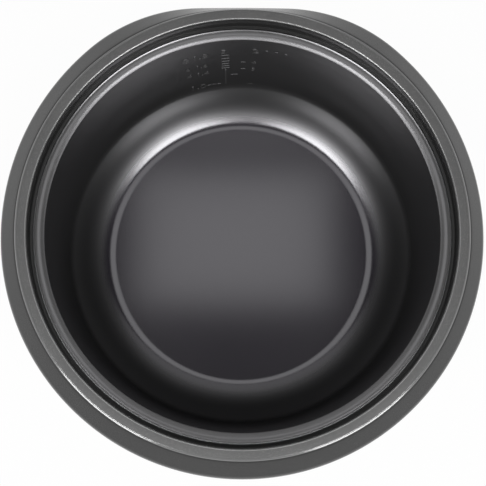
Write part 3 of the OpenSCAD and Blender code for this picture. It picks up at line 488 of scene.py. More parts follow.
def wall_radius(z):
    """Inner radius of the pot at height z, which narrows evenly from the lip's rounding to the corner."""
    return np.interp(z, [corner_z, wall_top], [bend_in[-1, 0], pot_r])


def on_wall(along, height, depth):
    """A point of the back wall: along is measured from its middle to the right, depth towards the axis."""
    radius = wall_radius(height) - depth
    angle = np.pi / 2 - along / pot_r
    return np.stack([radius * np.cos(angle), radius * np.sin(angle), height], -1)


def numeral(text, along, height, size, width=0.8):
    """Points and faces of a numeral of the given size in millimetres, its middle at (along, height), narrowed
    by width. The text's own depth, from -0.5 to 0.5, becomes the relief, and its back is sunk in the wall."""
    curve = bpy.data.curves.new("numeral", "FONT")
    curve.body, curve.size = text, size / font_height
    curve.align_x, curve.extrude, curve.resolution_u = "CENTER", 0.5, 3
    source = bpy.data.objects.new("numeral", curve)
    flat = bpy.data.meshes.new_from_object(source)
    x, y, z = points_of(flat).T
    faces = [list(polygon.vertices) for polygon in flat.polygons]
    bpy.data.objects.remove(source)
    return on_wall(along + width * x, height - size / 2 + y, (z + 0.5) * relief - sunk), faces


def tick(along, height, across, up, slant=0.12):
    """A small bar, across wide and up high in millimetres, whose sides slope in by slant towards its top."""
    u, v, d = (np.array(c, float) for c in zip(*[
        (s * (across / 2 - inset), t * (up / 2 - inset), depth)
        for inset, depth in ((0, -sunk), (slant, bar_relief))
        for s, t in ((-1, -1), (1, -1), (1, 1), (-1, 1))]))
    faces = [[3, 2, 1, 0], [4, 5, 6, 7]] + [[k, (k + 1) % 4, 4 + (k + 1) % 4, 4 + k] for k in range(4)]
    return on_wall(along + u, height + v, d), faces


# %% Level marks
marks = [numeral(text, along, height, size) for text, along, height, size in [
    ("1.0", -30.5, 84, 9.5), ("8", -36.4, 151, 9), ("6", -36.0, 131, 6.5), ("4", -35.6, 115, 6.5),
    ("1.8", -27.2, 152, 8.5), ("1.6", -26.8, 131, 6.5), ("1.4", -26.6, 114, 6.5), ("5", -12.0, 155.5, 6.5),
    ("2", 8.2, 156, 8.0), ("4", 7.6, 131, 5.5), ("3", 7.6, 116, 5.5)]]
marks += [tick(-10.8, height, 5.2, 0.5) for height in (147, 140.5, 134.5, 129, 124, 119.5)]
marks += [tick(-10.8, 98, 1.1, 34), tick(-5.0, 103, 4.5, 0.5), tick(6.2, 80, 4.0, 0.5)]
marks += [tick(0.8, height, 3.2, 0.5) for height in (131, 116)]
marks += [tick(along, 83, 2.4, 0.9) for along in (-22.5, -19, -15.5)]
marks += [tick(along, 157.5, 1.6, 1.6) for along in (15.4, 21.6, 27.6)]
piece("level_marks", marks, mark_coat, "pot", sharp=0)

# %% [markdown]
# ## The ring around the lid recess
#
# A moulded channel: an inner wall with a small ledge beside the pot's lip, a flat band on top and a skirt
# outside. It is one closed section, so the grid wraps both ways. The inner edge of the band is rounded by
# nearly a millimetre, and together with a painted highlight band in the paint it draws the thin bright line
# there. The outer edge is almost sharp, because it meets the casing. The ledge and the sides of the recess
# are darker as painted shade. Six hollow bosses underneath take the screws.

# %% Ring
ring_z = 1000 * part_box("top_ring")[1].z
flange_z = 1000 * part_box("top_ring")[0].z
lip_gap, band_w, ring_wall, inner_round = 1.8, 6.2, 2.2, 0.85
ledge_w, ledge_rise = 1.6, 0.3
skirt_h, skirt_gap = 6.4, 0.53
ring_r = lip_r + lip_gap
crease_r = ring_r + band_w
skirt_r = crease_r - skirt_gap
ledge_z = lip_z + ledge_rise
skirt_z = ring_z - skirt_h


def closed_section(corners, steps=5):
    """A rounded section that returns to its start: the first corner is given without a radius."""
    return rounded(list(corners) + [corners[0]], steps)[:-1]


ring_section = closed_section([
    (ring_r + ring_wall, flange_z, 0), (ring_r - ledge_w, flange_z, 0.3), (ring_r - ledge_w, ledge_z, 0.15),
    (ring_r, ledge_z, 0.2), (ring_r, ring_z, inner_round), (skirt_r, ring_z, 0.06), (skirt_r, skirt_z, 0.3),
    (skirt_r - ring_wall, skirt_z, 0.3), (skirt_r - ring_wall, ring_z - ring_wall, 0.5),
    (ring_r + ring_wall, ring_z - ring_wall, 0.5)], 9)
shell_wall, boss_gap, boss_overlap = 2.2, 0.3, 0.8
boss_r, screw_hole_r, boss_top = 2.8, 1.7, skirt_z - shell_wall - boss_gap
boss_section = closed_section([(boss_r, flange_z, 0), (boss_r, boss_top, 0.3), (screw_hole_r, boss_top, 0),
                               (screw_hole_r, flange_z, 0)], 3)
boss_circle = ring_r + ring_wall + boss_r - boss_overlap
bosses = [spin(boss_section, 24, place, closed=True) for place in around(boss_circle, 30 + 60 * np.arange(6))]
# The ring's paint: a painted highlight band at its inner edge, painted shade on the recess below the band.
ring_paint = satin_paint("ring_paint", tone=0.098, metallic=0.04, roughness=0.36, level=0.14,
                         highlight_band=(ring_r + 0.2, ring_r + 1.1), highlight_tone=0.24, highlight_metallic=0.85,
                         recess_shade_below=ring_z - 0.4)
piece("ring_band", [spin(ring_section, 320, closed=True)] + bosses, ring_paint,
      replaces=["top_ring"])

# %% [markdown]
# ## The casing
#
# Seen from above the casing is a circle in front, a slightly larger circle at the rear sides, two rear
# corners and a flat back, all tangent. `plan` gives the distance from the axis to that outline in any
# direction. The casing is then a stack of rings between the crease beside the ring and the outline: `mix`
# says how far a ring has moved from the one to the other. It is modelled with both walls in one closed
# surface, because Solidify would lose the turned-in edges at the top and at the base.

# %% Plan of the casing
shoulder_w, back_w, shoulder_drop, flat_half, side_extra = 13.0, 7.3, 18.0, 27.0, 7.0
body_r, back_y = crease_r + shoulder_w, crease_r + back_w
side_r = body_r + side_extra
corner_r = (side_r**2 - (flat_half + side_extra)**2 - back_y**2) / (2 * (side_r - back_y))
corner_y = back_y - corner_r
corner_dir = np.arctan2(corner_y, flat_half + side_extra)
side_end = np.arctan2(corner_y + corner_r * np.sin(corner_dir), flat_half + corner_r * np.cos(corner_dir))
corner_end = np.arctan2(back_y, flat_half)


def reach(a, cx, cy, r):
    """Distance from the axis to a circle about (cx, cy), along the direction a."""
    return cx * np.cos(a) + cy * np.sin(a) + np.sqrt(r**2 - (cx * np.sin(a) - cy * np.cos(a))**2)


def plan(angle):
    """Distance from the axis to the casing's outline, angle from +X with the back at a quarter turn."""
    b = np.arcsin(np.sin(angle))
    with np.errstate(divide="ignore", invalid="ignore"):
        return np.where(b <= 0, body_r,
               np.where(b < side_end, reach(b, -side_extra, 0, side_r),
               np.where(b < corner_end, reach(b, flat_half, corner_y, corner_r), back_y / np.sin(b))))


print(f"outline: front {body_r:.1f} mm, back {back_y:.1f} mm, rear corner radius {corner_r:.1f} mm")

# %% [markdown]
# The rings go from the top edge beside the ring over a full, round crease, down the sloping shoulder,
# round its edge on a quadratic curve, down the wall to a rounded foot, and back up inside. A row of the
# table is (mix, offset, height): how far it has moved from the crease to the outline, how far it is then
# moved outwards, and its height. Two groups of faces are left out, where the front panel and the mains
# inlet sit, and the rims of these holes are joined from the outer wall to the inner one.

# %% Rows of the casing
shell_draft, edge_round, base_round, base_flange, pan_top = 3.0, 5.0, 3.0, 9.0, 9.0
crease_w, crease_h, crease_out, slope_end, seam_gap = 2.3, 2.25, 0.8, 0.8, 0.5
shell_z = 1000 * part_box("outer_shell")[0].z
edge_z = ring_z - shoulder_drop
panel_half, panel_low, panel_high = 33.0, 16.0, 71.5
inlet_z, inlet_half_w, inlet_half_h = 26.0, 14.7, 10.8


def draft(z):
    """How far the wall stands inside its outline at height z."""
    return shell_draft * (edge_z - z) / (edge_z - shell_z)


def crease_rows(steps=9):
    """Rows from the seam beside the ring over the crease, for u from 0 to 1: out by crease_w u^2, down by
    crease_h u^2, and bulging by 2 crease_out u (1 - u)."""
    u = np.linspace(0, 1, steps + 1)
    out = (crease_w * u**2 + 2 * crease_out * u * (1 - u)) / shoulder_w
    return np.stack([out, -seam_gap * (1 - u)**2, ring_z - crease_h * u**2], 1)


def slope_rows(mix):
    """Rows of the straight slope, each with what is left of the crease's bulge, which ends at slope_end."""
    bulge = crease_out / shoulder_w * (1 - mix / slope_end)
    return np.stack([mix + bulge, 0 * mix, ring_z - mix * shoulder_drop], 1)


def edge_rows(t, steps=12):
    """Rows of the shoulder's edge moved inwards by t: a quadratic curve from the slope into the wall."""
    u = np.linspace(0, 1, steps + 1)
    z = ((1 - u)**2 * (ring_z - slope_end * shoulder_drop) + 2 * u * (1 - u) * edge_z
         + u**2 * (edge_z - edge_round) - t * (1 - u))
    return np.stack([slope_end + (1 - slope_end) * (2 * u - u**2), -t * u, z], 1)


def wall_rows(z, t):
    """Rows of the wall at the heights z, moved inwards by t: the outline less the draft."""
    return np.stack([1 + 0 * z, -draft(z) - t, z], 1)


wall_z = np.array([edge_z - 12, 150, 130, 110, 90, panel_high, 60, 48, inlet_z + inlet_half_h, inlet_z,
                   panel_low, inlet_z - inlet_half_h])
foot_turn = np.radians(np.linspace(0, 90, 7))
foot_z = shell_z + base_round * (1 - np.sin(foot_turn))
foot_in = base_round * 0.5 * (1 - np.cos(foot_turn))
outer_rows = np.concatenate([
    crease_rows(),
    slope_rows(np.array([0.3, 0.5, 0.65])),
    edge_rows(0),
    wall_rows(wall_z, 0),
    np.stack([1 + 0 * foot_z, -shell_draft - foot_in, foot_z], 1)])
inner_in = -shell_draft - shell_wall
lip_reach = 1.0
lip_in = skirt_r - ring_wall - lip_reach - crease_r
inner_rows = np.concatenate([
    [[1, inner_in, shell_z], [1, inner_in, pan_top], [1, inner_in - base_flange, pan_top],
     [1, inner_in - base_flange, pan_top + shell_wall], [1, inner_in, pan_top + shell_wall]],
    wall_rows(wall_z, shell_wall)[::-1],
    edge_rows(shell_wall)[::-1],
    [[0, shell_wall, skirt_z - shell_wall], [0, lip_in, skirt_z - shell_wall], [0, lip_in, skirt_z],
     [0, -seam_gap, skirt_z]]])
print("casing rows:", len(outer_rows), "outside,", len(inner_rows), "inside")

# %% [markdown]
# The columns are spread evenly, apart from those that are moved onto the sides of the two holes, so that
# the holes have straight sides.

# %% Casing's grid
columns = np.linspace(0, 2 * np.pi, 360, endpoint=False)
mid_draft = 2.0
panel_side = np.arcsin(panel_half / (body_r - mid_draft))
inlet_side = np.arctan2(inlet_half_w, back_y - mid_draft)
sides = [1.5 * np.pi - panel_side, 1.5 * np.pi + panel_side, np.pi / 2 - inlet_side, np.pi / 2 + inlet_side]
side_columns = [int(np.abs(columns - s).argmin()) for s in sides]
columns[side_columns] = sides
rows = np.concatenate([outer_rows, inner_rows])
mix, off, height = rows[:, 0, None], rows[:, 1, None], rows[:, 2, None]
reach_of = crease_r + mix * (plan(columns) - crease_r) + off
casing = np.stack([reach_of * np.cos(columns), reach_of * np.sin(columns), height + 0 * reach_of], -1)


def row_at(z, rows_of, first):
    """Number of the wall's row at height z, among rows that are counted from first."""
    match = np.abs(rows_of[:, 2] - z) + 10 * (rows_of[:, 0] < 1)
    return first + int(match.argmin())


def cut_hole(faces, left, right, low, high):
    """Drops the faces of a hole in both walls and joins the two rims around it: upright strips at the columns
    left and right, level ones at the heights low and high."""
    n, first = len(columns), len(outer_rows)
    outer_low, outer_high = (row_at(z, outer_rows, 0) for z in (low, high))
    inner_low, inner_high = (row_at(z, inner_rows, first) for z in (low, high))
    j, i = faces[:, 0] // n, faces[:, 0] % n
    between_rows = ((j >= outer_high) & (j < outer_low)) | ((j >= inner_low) & (j < inner_high))
    gone = (i >= left) & (i < right) & between_rows
    out_j, in_j = np.arange(outer_high, outer_low), np.arange(inner_high, inner_low, -1)
    across = np.arange(left, right)
    rims = [np.stack([out_j * n + i0, (out_j + 1) * n + i0, (in_j - 1) * n + i0, in_j * n + i0], 1)
            for i0 in (left, right)]
    rims += [np.stack([o * n + across, o * n + across + 1, k * n + across + 1, k * n + across], 1)
             for o, k in ((outer_low, inner_low), (outer_high, inner_high))]
    return np.concatenate([faces[~gone]] + rims)


# %% Casing
casing_faces = grid_faces(len(rows), len(columns), wrap_rows=True)
casing_faces = cut_hole(casing_faces, *side_columns[:2], panel_low, panel_high)
casing_faces = cut_hole(casing_faces, *side_columns[2:], inlet_z - inlet_half_h, inlet_z + inlet_half_h)
# The crease carries a painted highlight band: a lighter, more metallic paint where its bright line falls.
shell_paint = satin_paint("shell_paint", tone=0.022, metallic=0.0, roughness=0.24, level=0.20,
                          highlight_band=(crease_r - 0.4, crease_r + 0.9), highlight_tone=0.33)
piece("casing", [(casing, casing_faces)], shell_paint, replaces=["outer_shell"], sharp=40)

# %% [markdown]
# ## Stacks of rounded rectangles
#
# The front panel, the key, the lenses and the mains inlet are all moulded with rounded corners. Each is a
# stack of rounded rectangles that change in size and depth from one to the next, so one helper makes them
# all. A stack that shrinks to nothing closes itself with a pole, and one that returns to its start wraps
# round.

# %% Stack rounded rectangles
def outline(w, h, r, arc_steps=6, side_steps=8):
    """Points round a rectangle w by h with corner radius r, always as many, so that stacked outlines match.
    Each corner is a quarter circle, and the points of each side are spread evenly."""
    signs = [(1, -1), (1, 1), (-1, 1), (-1, -1)]
    corners = [arc((s * (w / 2 - r), t * (h / 2 - r)), r, 90 * k - 90, 90 * k, arc_steps)
               for k, (s, t) in enumerate(signs)]
    share = np.linspace(0, 1, side_steps + 1)[1:-1, None]
    return np.concatenate([part for k in range(4) for part in (
        corners[k], corners[k][-1] * (1 - share) + corners[(k + 1) % 4][0] * share)])


def stack(rings, place, closed=False):
    """A surface through rings of (width, height, corner radius, middle u, middle v, depth).
    place(u, v, depth) gives the points in space."""
    rings = np.array(rings, float)
    uv = np.stack([outline(w, h, r) + [u, v] for w, h, r, u, v, _ in rings])
    depth = rings[:, 5, None] + 0 * uv[..., 0]
    return place(uv[..., 0], uv[..., 1], depth), grid_faces(*uv.shape[:2], wrap_rows=closed)


def edge(ring, radius, inwards=1, steps=4):
    """Rings that round the front edge of a ring. Its depth rises as radius * sin a while its outline shrinks
    by radius * (1 - cos a), or grows back, with inwards=-1, for the edge of an opening."""
    w, h, r, u, v, d = ring
    angle = np.radians(np.linspace(0, 90, steps + 1))
    inset, rise = radius * (1 - np.cos(angle)) * inwards, radius * np.sin(angle)
    rings = [(w - 2 * i, h - 2 * i, max(r - i, 0.01), u, v, d + k) for i, k in zip(inset, rise)]
    return rings if inwards > 0 else rings[::-1]


def between(a, b, steps):
    """Rings evenly between ring a and ring b, without the two themselves."""
    a, b = np.array(a, float), np.array(b, float)
    return [tuple(a + (b - a) * k / steps) for k in range(1, steps)]


# %% [markdown]
# ## The front panel
#
# A bowed plate of glossy moulded plastic covers the opening in the casing. Its surface follows the
# casing's cone: where the casing's wall lies w from the axis, a point of the plate at distance u from the
# middle lies at y = -sqrt((w + depth)^2 - u^2). One stack runs from the plate's outer edge over its face
# to the slot of the key and back behind, so the slot is a real opening.

# %% Front panel
panel_w, panel_h, panel_t, panel_mid = 76.0, 64.0, 1.6, 44.5
key_z, key_w, key_h = 31.0, 22.0, 10.0
seat_gap, room_below_key, room_above_key = 0.3, 9.3, 1.2
slot_w = key_w + 2
slot_low, slot_high = key_z - key_h / 2 - room_below_key, key_z + key_h / 2 + room_above_key
slot_h, slot_mid = slot_high - slot_low, (slot_low + slot_high) / 2


def bowed(u, v, depth):
    """A point on the panel: u across, v up, depth outwards from the panel's inner face."""
    radius = body_r - draft(v) + seat_gap + depth
    return np.stack([u, -np.sqrt(radius**2 - u**2), v], -1)


def plate(outer, inner, thickness, e=0.5):
    """Rings of a plate between two outlines (width, height, corner radius, u, v), edges rounded by e."""
    front_outer = edge(outer + (thickness - e,), e)
    front_inner = edge(inner + (thickness - e,), e, inwards=-1)
    front = between(front_outer[-1], front_inner[0], 10)
    back = between(inner + (0.0,), outer + (0.0,), 10)
    return [outer + (0.0,)] + front_outer + front + front_inner + [inner + (0.0,)] + back


panel_rings = plate((panel_w, panel_h, 8.0, 0.0, panel_mid), (slot_w, slot_h, 1.2, 0.0, slot_mid), panel_t)
rim_wall, rim_depth = 1.6, 6
rim_w, rim_h = 2 * (panel_half - seat_gap), panel_high - panel_low - 2 * seat_gap
rim_mid = (panel_low + panel_high) / 2
rim_outer = (rim_w, rim_h, 1, 0, rim_mid)
rim_inner = (rim_w - 2 * rim_wall, rim_h - 2 * rim_wall, 0.5, 0, rim_mid)
rim = [rim_outer + (0,), rim_outer + (-rim_depth,), rim_inner + (-rim_depth,), rim_inner + (0,)]
print(f"slot for the key: {slot_w:.0f} x {slot_h:.1f} mm")

# %% [markdown]
# Glossy plastic shows a faint orange-peel waviness from the mould and fine scuffs, so its roughness
# varies in patches. The key and the inlet use the same family with a finer and deeper grain.


# %% Plastics
def plastic(name, colour, roughness, grain=0.35, depth=0.006, wave=0.0, extra=None):
    """Moulded plastic: grain is the size of its texture in millimetres, depth its height, and wave the height
    of a slow ripple."""
    f = Finish(name, {**{"Specular IOR Level": 0.5}, **(extra or {})})
    place = f.place()
    fine = f.noise(place, size=grain)
    cloud = f.noise(place, size=18, detail=3)
    normal = f.bump(fine, depth)
    if wave:
        normal = f.bump(f.noise(place, size=7, detail=1), wave, normal)
    f.set({
        "Base Color": f.mix(cloud * 0.7 + fine * 0.3, shade(colour, 0.82), shade(colour, 1.18)),
        "Roughness": roughness + (cloud - 0.5) * 0.12 + (fine - 0.5) * 0.06,
        "Normal": normal,
    })
    return f.material


panel_plastic = plastic("panel_plastic", grey(0.014), 0.13, 0.9, 0.0015, wave=0.012,
                        extra={"Coat Weight": 0.4, "Coat Roughness": 0.06})
piece("front_plate", [stack(r, bowed, closed=True) for r in (panel_rings, rim)], panel_plastic,
      replaces=["front_panel"])

# %% [markdown]
# ## Key and indicator lenses
#
# The key is a rounded block on the end of the lever. Its face is dished for a finger and has three ribs.
# Each lens is a pillow: the depth of its inner rings rises as a quarter of a cosine towards the middle,
# and a thin bezel stands around it.

# %% Key
key_front = -1000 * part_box("cook_key")[0].y
key_back = -1000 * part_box("cook_key")[1].y
key_round, key_dish = 1.2, 0.5


def flat_front(u, v, depth):
    """A point at distance depth in front of the axis, facing the user."""
    return np.stack([u, -depth, v], -1)


def dish(ring, deep, steps=5):
    """Rings from a ring's outline to its middle that sink by deep * cos(90 degrees * s), for a share s of the
    outline, or rise where deep is negative."""
    w, h, r, u, v, d = ring
    return [(w * s, h * s, r * s, u, v, d - deep * np.cos(np.pi / 2 * s))
            for s in np.linspace(1, 0, steps + 1)[1:]]


def key_ring(depth):
    """The key's outline as a ring at a distance depth in front of the axis."""
    return (key_w, key_h, 1.5, 0, key_z, depth)


def rib(z, across, up, low, high, slant=0.15):
    """Rings of a small bar on the key's face at height z, its sides sloping in by slant in its upper half."""
    top = up - 2 * slant
    return [(0, 0, 0, 0, z, low), (across, up, up / 2 - 0.01, 0, z, low),
            (across, up, up / 2 - 0.01, 0, z, (low + high) / 2),
            (across - 2 * slant, top, top / 2 - 0.01, 0, z, high), (0, 0, 0, 0, z, high)]


key_edge = edge(key_ring(key_front - key_round), key_round)
key_rings = [(0, 0, 0, 0, key_z, key_back), key_ring(key_back + 0.01)] + key_edge
key_rings += dish(key_edge[-1], key_dish)
ribs = [rib(z, 11, 0.9, key_front - 1.4, key_front - 0.02) for z in (key_z - 2, key_z, key_z + 2)]
key_plastic = plastic("key_plastic", grey(0.030), 0.34, 0.3, 0.008)
piece("key", [stack(r, flat_front) for r in [key_rings] + ribs], key_plastic, "lever",
      ["cook_key"])

# %% [markdown]
# The lenses are tinted clear plastic with fine vertical prisms on the inside, which a wave texture gives
# as a bump. They let a part of the light through, so the colour is deeper at their edges.


# %% Lens plastic
def lens_plastic(name, colour):
    """Tinted clear plastic, darker in patches and darker in the prisms' troughs as painted shade. The wave of the
    prisms runs along X and is also its bump.
    """
    f = Finish(name, {"Transmission Weight": 0.35, "IOR": 1.49, "Coat Weight": 0.3, "Coat Roughness": 0.05})
    place = f.place()
    prisms = f.node("TexWave", {"wave_type": "BANDS", "bands_direction": "X"},
                    {"Vector": place, "Scale": 260.0, "Distortion": 0.0})
    cloud = f.noise(place, size=5)
    f.set({
        # Painted shade along the prisms, mixed with random darker patches of the plastic's own tone.
        "Base Color": f.mix(prisms * 0.5 + cloud * 0.4, shade(colour, 0.55), colour),
        "Roughness": 0.16 + (cloud - 0.5) * 0.08,
        "Normal": f.bump(prisms, depth=0.05),
    })
    return f.material


# %% Lenses and bezels
lens_x, lens_z, lens_w, lens_h, lens_out = 15.9, panel_high - 8, 16.0, 6.0, 0.6
lens_round, lens_back, pillow, bezel_w, bezel_gap = 0.5, -1.5, 0.25, 1.3, 0.15
for name, node, u, colour, slot in (
        ("cook_window", "cook_lens", -lens_x, (0.62, 0.045, 0.02, 1), "lens_red"),
        ("warm_window", "warm_lens", lens_x, (0.75, 0.27, 0.02, 1), "lens_amber")):
    lens = (lens_w, lens_h, 1.0, u, lens_z)
    front_ring = edge(lens + (panel_t + lens_out - pillow - lens_round,), lens_round)
    rings = [(0, 0, 0, u, lens_z, lens_back), lens + (lens_back,)] + front_ring
    rings += dish(front_ring[-1], -pillow)
    piece(name, [stack(rings, bowed)], lens_plastic(name + "_plastic", colour), replaces=[node])

bezels = []
for u in (-lens_x, lens_x):
    outer = (lens_w + 2 * bezel_w, lens_h + 2 * bezel_w, 2.2, u, lens_z)
    inner = (lens_w + 2 * bezel_gap, lens_h + 2 * bezel_gap, 1.1, u, lens_z)
    bezels.append(stack([outer + (panel_t - 0.3,)] + edge(outer + (panel_t + 0.05,), 0.3)
                        + edge(inner + (panel_t + 0.05,), 0.3, inwards=-1) + [inner + (panel_t - 0.3,)],
                        bowed, closed=True))
piece("lens_bezels", bezels, bezel_paint)

# %% [markdown]
# ## Mains inlet
#
# The back carries an appliance inlet: a flange with two screws and a shroud around three blades. One
# stack starts at its closed rear inside the casing, widens to the flange, rises up the shroud, turns over
# its edge and ends on the floor of the socket.

# %% Inlet
inlet_w, inlet_h, inlet_wall, inlet_depth = 24.4, 16.6, 2.2, 17.5
inlet_face = 1000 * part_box("inlet_socket")[1].y
inlet_rear = 1000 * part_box("inlet_socket")[0].y
shroud_w, shroud_h = inlet_w + 2 * inlet_wall, inlet_h + 2 * inlet_wall
flange_w, flange_h, flange_t = shroud_w + 24, shroud_h + 4, 2.2
flange_y = back_y - draft(inlet_z + inlet_h / 2 + inlet_wall) + seat_gap
flange_face = flange_y + flange_t


def facing_back(u, v, depth):
    """A point at distance depth behind the axis; u runs to the left as seen from behind."""
    return np.stack([u, depth, v], -1)


def inlet_ring(w, h, r, depth):
    """A rounded rectangle about the inlet's middle as a ring at a distance depth behind the axis."""
    return (w, h, r, 0, inlet_z, depth)


def shroud_ring(wider, depth):
    """A ring of the shroud, wider by the radius of the fillet at its root."""
    return inlet_ring(shroud_w + wider, shroud_h + wider, 3 + wider / 2, depth)


inlet_rings = ([inlet_ring(0, 0, 0, inlet_rear), shroud_ring(0, inlet_rear), shroud_ring(0, flange_y),
                inlet_ring(flange_w, flange_h, 6, flange_y)]
               + edge(inlet_ring(flange_w, flange_h, 6, flange_face - 0.6), 0.6)
               + [shroud_ring(1, flange_face), shroud_ring(0.2, flange_face + 0.25),
                  shroud_ring(0, flange_face + 0.9)]
               + edge(shroud_ring(0, inlet_face - 0.7), 0.7)
               + edge(inlet_ring(inlet_w, inlet_h, 2.5, inlet_face - 0.4), 0.4, inwards=-1)
               + [inlet_ring(inlet_w, inlet_h, 2.5, inlet_face - inlet_depth),
                  inlet_ring(0, 0, 0, inlet_face - inlet_depth)])
inlet_plastic = plastic("inlet_plastic", grey(0.016), 0.42, 0.45, 0.014)
piece("inlet_housing", [stack(inlet_rings, facing_back)], inlet_plastic,
      replaces=["inlet_socket"])

# %% [markdown]
# ## Screws with a cross recess
#
# A screw head is a low dome with a cross pressed into it. The head is a polar grid: its height is the
# dome's minus a recess that is deep where a point lies within half an arm's width of either axis and
# inside the arm's length. The same grid carries on down the side of the head and along the shank.


# %% Screws
def screw(head_r, head_h, shank_r, length, segments=96):
    """A pan-head screw along +Z with the underside of its head at 0. The head is a dome of height
    h - 0.25 h (r / R)^2 less half of h inside the cross, whose borders are short ramps."""
    r = np.linspace(0, head_r * 0.94, 22)[:, None]
    a = np.linspace(0, 2 * np.pi, segments, endpoint=False)
    x, y = np.abs(r * np.cos(a)), np.abs(r * np.sin(a))
    arm_w, arm_length = 0.17 * head_r, 0.66 * head_r
    in_arm = np.clip((arm_w - np.minimum(x, y)) / (0.3 * arm_w) + 0.5, 0, 1)
    inside = in_arm * np.clip((arm_length - r) / 0.25, 0, 1)
    dome = head_h * (1 - 0.25 * (r / head_r)**2)
    top = np.stack([r * np.cos(a), r * np.sin(a), dome - inside * 0.5 * head_h + 0 * a], -1)
    down = np.array([[0.985 * head_r, 0.70 * head_h], [head_r, 0.58 * head_h], [head_r, 0.08 * head_h],
                     [0.96 * head_r, 0], [shank_r, 0], [shank_r, -length + 0.5], [shank_r - 0.4, -length],
                     [0, -length]])
    side, _ = spin(down, segments)
    points = np.concatenate([top, side])
    return points, grid_faces(len(points), segments)


def turned(grid, rotation, move):
    """A grid turned by a 3 x 3 matrix and moved."""
    points, faces = grid
    return points @ np.array(rotation, float).T + np.array(move, float), faces


# %% Sets of screws
POINT_DOWN = ((1, 0, 0), (0, -1, 0), (0, 0, -1))
POINT_BACK = ((1, 0, 0), (0, 0, 1), (0, 1, 0))
screw_r, base_screw_z = 1.5, 6.5
base_circle = body_r - shell_draft - shell_wall - base_flange / 2
base_screw = screw(1.9 * screw_r, 1.3 * screw_r, screw_r, pan_top - base_screw_z + shell_wall)
base_set = [turned(base_screw, POINT_DOWN, place + (base_screw_z,))
            for place in around(base_circle, [-135, -45, 20, 160])]
inlet_screw = screw(2.8, 2.0, screw_r, 9)
nut_r, nut_h = 3.2, 2.4
nut_top = back_y - draft(inlet_z) - flange_face - shell_wall - 0.5
nut = spin(np.array([[0, nut_top], [nut_r, nut_top], [nut_r, nut_top - nut_h], [0, nut_top - nut_h]]), 6)
inlet_set = [turned(grid, POINT_BACK, (side * (shroud_w / 2 + 6), flange_face, inlet_z))
             for side in (-1, 1) for grid in (inlet_screw, nut)]
print("screws:", len(base_set), "under the base,", len(inlet_set) // 2, "with nuts at the inlet")

# %% [markdown]
# ## Metals
#
# Every metal here has its own texture: sheet steel shows the stretched grain of rolling, a turned piece
# shows fine rings around the axis, and plated pieces are mottled. The stretched grain is a noise read
# from a position that is squeezed along one axis. The rings are a noise read from the distance to the
# axis and the height, so that it is the same all the way round.


# %% Metals
def metal(name, colour, roughness, texture="plated", size=0.4, depth=0.006, stain=0.15):
    """Bare metal. The grain of turned metal is read from (distance to the axis, 0.6 z), that of rolled metal
    from a position squeezed to a twentieth along X, and that of plated metal from the position."""
    f = Finish(name, {"Metallic": 1.0})
    place = f.place()
    grain_at = place
    if texture == "turned":
        grain_at = f.node("CombineXYZ", None, {"X": f.from_axis(place), "Y": f.axes(place)[2] * 0.6})
    elif texture == "rolled":
        grain_at = f.node("VectorMath", {"operation": "MULTIPLY"}, {0: place, 1: (0.05, 1, 1)})
    grain = f.noise(grain_at, size=size, detail=3)
    cloud = f.noise(place, size=14, detail=4, roughness=0.6)
    f.set({
        "Base Color": f.mix(cloud * 0.7 + grain * 0.3, shade(colour, 1 - stain),
                            shade(colour, 1 + stain / 2)),
        "Roughness": roughness + (grain - 0.5) * 0.14 + (cloud - 0.5) * 0.16,
        "Normal": f.bump(grain, depth),
    })
    return f.material


screw_metal = metal("screw_zinc", (0.56, 0.56, 0.53, 1), 0.30, "plated", 0.3, 0.004)
piece("base_screw_set", base_set, screw_metal, replaces=["base_screws"])
piece("inlet_screw_set", inlet_set, screw_metal, replaces=["inlet_screws"])

# %% [markdown]
# ## The release spring
#
# A coil spring round the plunger pushes it down again when the key is let go. Its wire is a tube along a
# helix whose end turns lie nearly flat.


# %% Release spring
def coil(radius, low, high, turns, wire, steps=28, sides=10):
    """Wire along the helix (R cos t, R sin t, height(t)). Across it the points are
    centre + w (N cos p + B sin p), with N pointing away from the axis and B square to N and to the wire."""
    turn = np.linspace(0, turns, turns * steps + 1)
    flat_end = 2.2 * wire
    height = np.interp(turn, [0, 1, turns - 1, turns], [low, low + flat_end, high - flat_end, high])
    t = 2 * np.pi * turn
    centre = np.stack([radius * np.cos(t), radius * np.sin(t), height], -1)
    along = np.gradient(centre, axis=0)
    along /= np.linalg.norm(along, axis=1, keepdims=True)
    out = np.stack([np.cos(t), np.sin(t), 0 * t], -1)
    up = np.cross(along, out)
    p = np.linspace(0, 2 * np.pi, sides, endpoint=False)[:, None]
    tube = centre[:, None] + wire * (out[:, None] * np.cos(p) + up[:, None] * np.sin(p))
    caps = [np.repeat(centre[k][None, None], sides, 1) for k in (0, -1)]
    points = np.concatenate([caps[0], tube, caps[1]])
    return points, grid_faces(*points.shape[:2])


spring_wire, spring_turns = 0.4, 5
spring_low, spring_high = (1000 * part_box("release_spring")[k].z for k in (0, 1))
spring_r = 1000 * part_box("release_spring")[1].x - spring_wire
spring_grid = coil(spring_r, spring_low + spring_wire, spring_high - spring_wire, spring_turns, spring_wire)
spring_metal = metal("spring_steel", (0.46, 0.46, 0.47, 1), 0.28, "plated", 0.3, 0.003)
spring = piece("release_coil", [spring_grid], spring_metal, replaces=["release_spring"])
plunger_rise = next(j for j in frame["joints"] if j["name"] == "plunger_rise")
travel = 1000 * plunger_rise["range_m"][1]
1 - travel / (spring_high - spring_low)
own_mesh(spring)

# %% [markdown]
# ## Rubber feet
#
# Four soft feet stand on a circle. Each is one spun section: a slightly conical foot with a ring groove
# underneath, a stem through the base and a button above it. Rubber is nearly matt, with a grain that
# catches dust.

